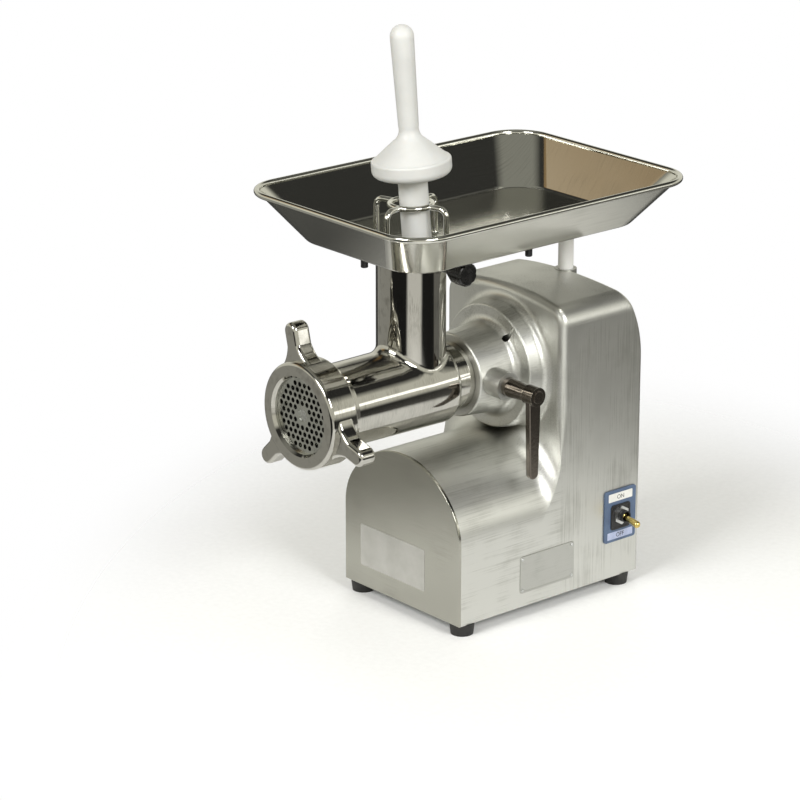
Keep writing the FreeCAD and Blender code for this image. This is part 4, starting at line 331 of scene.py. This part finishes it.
# Rear cover: the same sheet, screwed over the gear case's back by six pan-head screws.
# A black nylon gland sits low on it, for the supply.
def turned(profile, steps=32):
    """A solid turned about z from a line of (radius, height)."""
    bm = bmesh.new()
    points = [bm.verts.new((r, 0, z)) for r, z in profile]
    edges = [bm.edges.new(pair) for pair in zip(points, points[1:])]
    bmesh.ops.spin(bm, geom=points + edges, cent=(0, 0, 0), axis=(0, 0, 1), angle=math.tau, steps=steps,
                   use_merge=True)
    bmesh.ops.remove_doubles(bm, verts=bm.verts, dist=1e-7)
    bmesh.ops.recalc_face_normals(bm, faces=bm.faces)
    return bm


def pan_screw(radius, height, shank, reach):
    """A pan-head screw that stands on z = 0, with a cross recess."""
    dome = ((1.0, 0.42), (0.92, 0.7), (0.7, 0.92), (0.35, 1.0), (0.0, 1.0))
    bm = turned([(0, -reach), (shank, -reach), (shank, 0), (radius, 0)]
                + [(radius * out, height * up) for out, up in dome])
    arm, half = radius * 0.62, radius * 0.13
    for normal in ((1, 0, 0), (0, 1, 0)):
        for offset in (-arm, -half, half, arm):
            bmesh.ops.bisect_plane(bm, geom=bm.verts[:] + bm.edges[:] + bm.faces[:], dist=1e-7,
                                   plane_co=Vector(normal) * offset, plane_no=normal)
    recess = []
    for f in bm.faces:
        c = f.calc_center_median()
        across = min(abs(c.x), abs(c.y)) < half and max(abs(c.x), abs(c.y)) < arm
        if across and c.z > height * 0.5:
            recess.append(f)
    bmesh.ops.inset_region(bm, faces=recess, thickness=radius * 0.03, depth=-height * 0.5)
    return bm


def put_all(one, places):
    """One shape repeated at each place."""
    mesh = bpy.data.meshes.new("one")
    one.to_mesh(mesh)
    one.free()
    bm = bmesh.new()
    for matrix in places:
        mesh.transform(matrix)
        bm.from_mesh(mesh)
        mesh.transform(matrix.inverted())
    bpy.data.meshes.remove(mesh)
    return bm


rear_face, screw_half_gap = 0.172, 0.0615
screw_heights = (0.0345, 0.128, 0.2215)
rear_places = [Matrix.Translation((side * screw_half_gap, rear_face, z)) @ on_rear
               for side in (-1, 1) for z in screw_heights]
rear_screws = put_all(pan_screw(radius=0.004, height=0.0024, shank=0.002, reach=0.009), rear_places)
fit("rear_cover_cross_screws", rear_screws, zinc_plate, "base", "zinc_steel", "rear_cover_screws")

# Black nylon: near black with a low sheen.
black_nylon = moulded_plastic("moulded_black_nylon", "#0f0f10", "#1d1d1f", (0.3, 0.5), 0.5, 0.012, 8)
dress(black_nylon, "cord_gland")


# Switch: a toggle switch behind the wall, with its bush through a painted plate and a nut outside.
# The plate has a white strip above, a pale one below, a word on each, and a black bezel round the bush.
# Blue-grey enamel on aluminium: a flat paint film of fine orange peel, faded a little in clouds.
switch_enamel, place = new_finish("blue_grey_enamel")
peel = add(switch_enamel, "TexNoise", {"Vector": place, "Scale": per(1.2), "Detail": 3.0})
fade = add(switch_enamel, "TexNoise", {"Vector": place, "Scale": per(14), "Detail": 5.0})
colour = add(switch_enamel, "ValToRGB", {"Fac": fade.outputs["Fac"]}, [(0.3, "#435470"), (0.7, "#566985")])
rough = add(switch_enamel, "MapRange", {"Value": fade.outputs["Fac"], "To Min": 0.28, "To Max": 0.5})
bump = add(switch_enamel, "Bump", {"Height": peel.outputs["Fac"], "Strength": 1.0, "Distance": 0.00003})
shader = add(switch_enamel, "BsdfPrincipled", {"Base Color": colour.outputs["Color"], "IOR": 1.5,
             "Roughness": rough.outputs["Result"], "Normal": bump.outputs["Normal"]})
add(switch_enamel, "OutputMaterial", {"Surface": shader.outputs["BSDF"]})
dress(switch_enamel, "switch_plate")
dress(black_nylon, "switch_body")
dress(zinc_plate, "switch_nut")

switch_face, switch_y, switch_z = 0.0865, 0.1405, 0.077
upper_lift, bezel_lift, lower_lift = 0.0195, -0.0015, -0.0205
# Vinyl film: white with a soft gloss, yellowed a little by grease.
vinyl = moulded_plastic("white_vinyl_film", "#d9d8d2", "#ecebe7", (0.28, 0.42), 1.5, 0.01, 20)
strip = thin_plate(0.032, 0.0085, film_thick, corner=0.0008, edge=film_edge)
set_on(strip, on_side, (switch_face, switch_y, switch_z + upper_lift))
fit("switch_upper_strip", strip, vinyl, "base", "white_plastic")

# Pale print: the same film tinted to a light lavender blue.
pale_film = moulded_plastic("pale_blue_vinyl_film", "#9aa4c2", "#b4bcd6", (0.3, 0.45), 1.5, 0.01, 15)
strip = thin_plate(0.034, 0.0075, film_thick, corner=0.0008, edge=film_edge)
set_on(strip, on_side, (switch_face, switch_y, switch_z + lower_lift))
fit("switch_lower_strip", strip, pale_film, "base", "white_plastic")

bezel = thin_plate(0.026, 0.026, thick=0.0012, corner=0.003, edge=0.0004,
                   border=(0.0016, 0.0005, 0.0004))
set_on(bezel, on_side, (switch_face, switch_y, switch_z + bezel_lift))
fit("switch_bezel", bezel, black_nylon, "base", "black_plastic")

# Screen-print ink: a thin matt black film.
print_ink = moulded_plastic("black_screen_print_ink", "#141416", "#222224", (0.45, 0.6), 0.4, 0.003, 3)
letter_size, ink_half = 0.0062, 0.00004
for word, lift in (("ON", upper_lift), ("OFF", lower_lift)):
    letters = bpy.data.curves.new("word", "FONT")
    letters.body = word
    letters.size = letter_size
    letters.align_x = "CENTER"
    letters.extrude = ink_half
    holder = bpy.data.objects.new("word", letters)
    bpy.context.scene.collection.objects.link(holder)
    bpy.context.view_layer.update()
    mesh = bpy.data.meshes.new_from_object(holder.evaluated_get(bpy.context.evaluated_depsgraph_get()))
    bpy.data.objects.remove(holder)
    bm = bmesh.new()
    bm.from_mesh(mesh)
    cap_half = max(v.co.y for v in bm.verts) / 2
    set_on(bm, on_side, (switch_face + film_thick, switch_y, switch_z + lift - cap_half))
    fit("switch_word_" + word.lower(), bm, print_ink, "base", "black_plastic")

# Lacquered brass: warm yellow metal with a clear shine.
brass = metal_finish("lacquered_brass", "#a88a44", "#dcc57c", (0.14, 0.28), (0.3, 2, 2), 0.003, 4)
dress(brass, "toggle_lever")


# Rating plate: a blank aluminium plate on the body's right side, riveted at its corners.
# Its face is bare inside a rolled border.
# Satin anodised foil: even, cool and a little lighter than the casting.
anodised = metal_finish("satin_anodised_aluminium", "#a6a6a1", "#b7b7b2", (0.3, 0.38), (0.4, 25, 0.4),
                        0.001, 25)
body_side, plate_y, plate_z = 0.085, 0.044, 0.045
rating = thin_plate(0.071, 0.038, thick=0.0006, corner=0.0028, edge=0.0002,
                    border=(0.0014, 0.0003, 0.0002))
set_on(rating, on_side, (body_side, plate_y, plate_z))
fit("blank_rating_plate", rating, anodised, "base", "cast_aluminium")

rivet = turned([(0.0016, 0), (0.0015, 0.0004), (0.0011, 0.0008), (0.0006, 0.001), (0, 0.0011)], 20)
rivet_seat, rivet_y, rivet_z = 0.0855, 0.0325, 0.016
rivet_places = []
for side in (-1, 1):
    for up in (-1, 1):
        spot = (rivet_seat, plate_y + side * rivet_y, plate_z + up * rivet_z)
        rivet_places.append(Matrix.Translation(spot) @ on_side)
fit("rating_plate_rivets", put_all(rivet, rivet_places), zinc_plate, "base", "zinc_steel")


# Head clamp: a forged screw through the side of the neck, with a flat handle keyed to its end.
# Both are blackened in oil.
# Blackened steel: a shiny dark brown-grey, rubbed lighter along its edges.
blackened, place = new_finish("oil_blackened_steel")
forge = add(blackened, "TexNoise", {"Vector": place, "Scale": per(3), "Detail": 5.0})
rubbed = add(blackened, "TexNoise", {"Vector": place, "Scale": per(12), "Detail": 6.0, "Roughness": 0.65})
eased = add(blackened, "Bevel", {"Radius": 0.0014}, samples=6)
true_face = add(blackened, "NewGeometry")
flat = add(blackened, "VectorMath", {0: eased.outputs["Normal"], 1: true_face.outputs["Normal"]},
           operation="DOT_PRODUCT")
edge = add(blackened, "MapRange", {"Value": flat.outputs["Value"], "From Min": 0.995, "From Max": 0.9})
bare = add(blackened, "Math", {0: edge.outputs["Result"], 1: rubbed.outputs["Fac"]}, operation="MULTIPLY")
colour = add(blackened, "ValToRGB", {"Fac": bare.outputs["Value"]},
             [(0.05, "#645e57"), (0.5, "#a8a299")])
rough = add(blackened, "MapRange", {"Value": rubbed.outputs["Fac"], "To Min": 0.1, "To Max": 0.24})
bump = add(blackened, "Bump", {"Height": forge.outputs["Fac"], "Strength": 1.0, "Distance": 0.00006})
shader = add(blackened, "BsdfPrincipled", {"Base Color": colour.outputs["Color"], "Metallic": 1.0,
             "Roughness": rough.outputs["Result"], "Normal": bump.outputs["Normal"]})
add(blackened, "OutputMaterial", {"Surface": shader.outputs["BSDF"]})
dress(blackened, "clamp_screw", "clamp_lever")


# Grinding head: a stainless casting of barrel, feed tube and spigot in one, mirror polished by hand.
# A bronze bush carries the auger's journal, and a ring nut of the same casting closes the mouth.
# Hand-polished stainless: nearly a mirror, with slow waves and hairlines round the barrel.
mirror_casting = metal_finish("mirror_polished_cast_stainless", "#a3a19a", "#b9b7b0", (0.04, 0.09),
                              (9, 0.7, 9), 0.0006, 30, 22, 0.06)
dress(mirror_casting, "grinder_head", "ring_nut")

# Sintered bronze: brown-gold and fine-pored, dark with oil.
bronze = metal_finish("oiled_bronze", "#7d5a2c", "#b98f52", (0.28, 0.42), (0.5, 0.5, 0.5), 0.01, 6)
dress(bronze, "auger_bush")


# Auger, knife and plate: the parts that feed and cut, which come out through the mouth to be washed.
# The auger is a tinned casting, the knife, the plate and the pin that keys it are ground tool steel.
# Ground tool steel: mid grey with fine grinding lines and bright lands.
ground_steel = metal_finish("ground_tool_steel", "#85867f", "#bcbdb6", (0.16, 0.3), (0.5, 6, 5), 0.004, 12)
dress(ground_steel, "plate_key_pin", "knife", "grinding_plate")

# Tinned casting: soft silver with a slightly rippled skin.
tinned = metal_finish("tinned_cast_iron", "#9b9c98", "#cacbc7", (0.2, 0.36), (2, 2, 2), 0.03, 16)
dress(tinned, "auger")

# White acetal: dense, slightly waxy.
acetal = moulded_plastic("turned_white_acetal", "#d6d5cf", "#e8e7e2", (0.3, 0.45), 0.6, 0.006, 9, 0.1)
dress(acetal, "thrust_washer")


# Feed pan: a tray pressed from 1.5 mm stainless sheet with a rolled rim, polished inside and out.
# A sleeve and four bent wires are welded into it, and three pegs under it steady it off the machine.
# Polished sheet: clear reflections that bend a little where the sheet has been drawn.
drawn_sheet = metal_finish("polished_stainless_sheet", "#bcbbb3", "#cbcac2", (0.1, 0.14), (0.8, 45, 20),
                           0.0005, 70, 80, 0.2)
dress(drawn_sheet, "feed_pan", "pan_spigot")

# Drawn wire: bright, with fine drawing lines up its legs.
drawn_wire = metal_finish("polished_stainless_wire", "#b9b8b1", "#dad9d2", (0.08, 0.16), (0.5, 0.5, 8),
                          0.001, 10)
dress(drawn_wire, "throat_guard")

throat_x, throat_y, pan_floor = 0.0, -0.0582, 0.3755
weld = turned([(0.0026, 0.0022), (0.0031, 0.0012), (0.0040, 0.0005), (0.0054, 0.0), (0.0026, 0.0)], 28)
leg_ring_r, first_leg_deg = 0.04, 15
weld_places = []
for leg in range(4):
    angle = math.radians(first_leg_deg + 90 * leg)
    weld_places.append(Matrix.Translation((throat_x + leg_ring_r * math.cos(angle),
                                           throat_y + leg_ring_r * math.sin(angle), pan_floor)))
fit("guard_leg_welds", put_all(weld, weld_places), drawn_wire, "pan", "polished_stainless")
dress(black_nylon, "pan_feet")


# Thumb screw and post: a phenolic knob on a screw locks the pan's sleeve in the feed tube.
# A white nylon post on the gear case carries the pan's rear end.
# Phenolic moulding: deep black with a clear gloss, scuffed by fingers.
phenolic = moulded_plastic("black_phenolic", "#0b0b0b", "#191817", (0.18, 0.36), 0.8, 0.006, 7)
dress(phenolic, "pan_clamp_knob")
dress(zinc_plate, "pan_clamp_screw")

# White nylon: a clean hard white with a soft sheen.
white_nylon = moulded_plastic("turned_white_nylon", "#eeedea", "#f4f3f1", (0.3, 0.42), 0.7, 0.008, 20, 0.1)
dress(white_nylon, "pan_support_post")


# Pusher: turned from one bar of polyethylene, and dropped loose into the throat.
# Its broad flange keeps the hand away from the auger.
# White polyethylene: off-white and waxy, lets a little light in, with a fine turned grain of 0.8 mm.
polythene = moulded_plastic("turned_white_polythene", "#cfcfcc", "#d7d7d4", (0.34, 0.46), 0.8, 0.01, 45,
                            0.25)
dress(polythene, "pusher")


# Studio: a white table that fades out round the machine and can't be seen from below.
# Two soft boxes, a warm card, a low strip and two fills light it, and pale walls, cards and dark flags
# stand round it to be mirrored. The camera is that of the product shot.
table_r = 1.8
sweep = bmesh.new()
bmesh.ops.create_circle(sweep, cap_ends=True, segments=96, radius=table_r)
mesh = bpy.data.meshes.new("table_top")
sweep.to_mesh(mesh)
sweep.free()
table = bpy.data.objects.new("table_top", mesh)
bpy.context.scene.collection.objects.link(table)
paper, place = new_finish("white_table_paper")
oval_middle, oval_half, oval_turn = (0.2, -0.04, 0.0), (0.95, 0.56, 1.0), (0.0, 0.0, math.radians(-40.4))
oval = add(paper, "Mapping", {"Vector": place, "Location": oval_middle, "Rotation": oval_turn,
           "Scale": oval_half}, vector_type="TEXTURE")
spread = add(paper, "VectorMath", {0: oval.outputs["Vector"]}, operation="LENGTH")
fade = add(paper, "MapRange", {"Value": spread.outputs["Value"], "From Min": 0.55, "From Max": 1.0},
           interpolation_type="SMOOTHSTEP")
fibre = add(paper, "TexNoise", {"Vector": place, "Scale": per(6), "Detail": 4.0})
colour = add(paper, "ValToRGB", {"Fac": fibre.outputs["Fac"]}, [(0.3, "#f8f8f7"), (0.7, "#fdfdfc")])
sheet = add(paper, "BsdfPrincipled", {"Base Color": colour.outputs["Color"], "Roughness": 0.9})
clear = add(paper, "BsdfTransparent")
below = add(paper, "NewGeometry")
gone = add(paper, "Math", {0: fade.outputs["Result"], 1: below.outputs["Backfacing"]}, operation="MAXIMUM")
both = add(paper, "MixShader", {0: gone.outputs["Value"], 1: sheet.outputs["BSDF"],
           2: clear.outputs["BSDF"]})
add(paper, "OutputMaterial", {"Surface": both.outputs["Shader"]})
mesh.materials.append(paper)

world = bpy.data.worlds.new("white_surroundings")
bpy.context.scene.world = world
world.use_nodes = True
world.node_tree.nodes.clear()
path = add(world, "LightPath")
seen = add(world, "Background", {"Color": (1, 1, 1, 1), "Strength": 1.0})
heading = add(world, "SeparateXYZ", {"Vector": add(world, "TexCoord").outputs["Generated"]})
height = add(world, "MapRange", {"Value": heading.outputs["Z"], "From Min": -1.0, "From Max": 1.0})
dark_ceiling = "#3a3a38"
walls = add(world, "ValToRGB", {"Fac": height.outputs["Result"]}, [
            (0.44, "#80807c"), (0.52, "#efeee1"), (0.7, "#ecebde"), (0.775, dark_ceiling),
            (0.86, dark_ceiling), (0.94, "#97978f")])
bearing = add(world, "Math", {0: heading.outputs["Y"], 1: heading.outputs["X"]}, operation="ARCTAN2")
round_share = add(world, "MapRange", {"Value": bearing.outputs["Value"], "From Min": -math.pi,
                  "From Max": math.pi})
white_card, pale_card, grey_card = "#f0efe8", "#a9a8a1", "#7c7b76"
dim_card, black_flag = "#4c4c4a", "#262625"
cards = add(world, "ValToRGB", {"Fac": round_share.outputs["Result"]}, [
            (0.0, pale_card), (0.19, pale_card), (0.21, black_flag), (0.345, black_flag),
            (0.365, white_card), (0.475, white_card), (0.495, black_flag), (0.60, black_flag),
            (0.62, grey_card), (0.72, grey_card), (0.75, dim_card), (0.97, dim_card)])
low = add(world, "MapRange", {"Value": heading.outputs["Z"], "From Min": -0.02, "From Max": -0.1})
round_about = add(world, "Mix", {0: low.outputs["Result"], 6: walls.outputs["Color"],
                  7: cards.outputs["Color"]}, data_type="RGBA")
dim = add(world, "Background", {"Color": round_about.outputs[2], "Strength": 1.0})
both = add(world, "MixShader", {0: path.outputs["Is Camera Ray"], 1: dim.outputs["Background"],
           2: seen.outputs["Background"]})
add(world, "OutputWorld", {"Surface": both.outputs["Shader"]})

target = Vector((0.0, 0.0, 0.25))
white, warm = "#ffffff", "#ffd08a"
# Each light's name, place, size, watts, colour, and whether polished metal mirrors it.
lights = (("soft_box_left", (0.3, -2.5, 2.0), (1.3, 1.0), 56.0, white, True),
          ("soft_box_right", (2.7, -0.2, 1.9), (1.3, 1.0), 56.0, white, True),
          ("warm_card", (-1.9, -1.3, 1.7), (1.2, 0.8), 0.9, warm, True),
          ("strip_box_low", (2.3, 1.9, 0.7), (1.5, 0.3), 2.4, white, True),
          ("ceiling_fill", (0.2, 0.2, 3.0), (2.0, 2.0), 6.0, white, False),
          ("rear_fill", (-2.0, 1.9, 2.0), (1.5, 1.5), 16.0, white, False))
for name, spot, size, watts, colour, mirrored in lights:
    light = bpy.data.lights.new(name, "AREA")
    light.shape = "RECTANGLE"
    light.size, light.size_y = size
    light.energy = watts
    light.color = tone(colour)[:3]
    lamp = bpy.data.objects.new(name, light)
    lamp.location = spot
    lamp.visible_glossy = mirrored
    lamp.rotation_euler = (target - Vector(spot)).to_track_quat("-Z", "Y").to_euler()
    bpy.context.scene.collection.objects.link(lamp)

eye, aim = Vector((2.33415, -2.05749, 1.26864)), Vector((-0.0016, -0.0705, 0.2202))
lens = bpy.data.cameras.new("product_camera")
lens.lens = 152.5
lens.sensor_width = 36.0
camera = bpy.data.objects.new("product_camera", lens)
camera.location = eye
camera.rotation_euler = (aim - eye).to_track_quat("-Z", "Y").to_euler()
bpy.context.scene.collection.objects.link(camera)
bpy.context.scene.camera = camera
bpy.context.scene.view_settings.view_transform = "Standard"
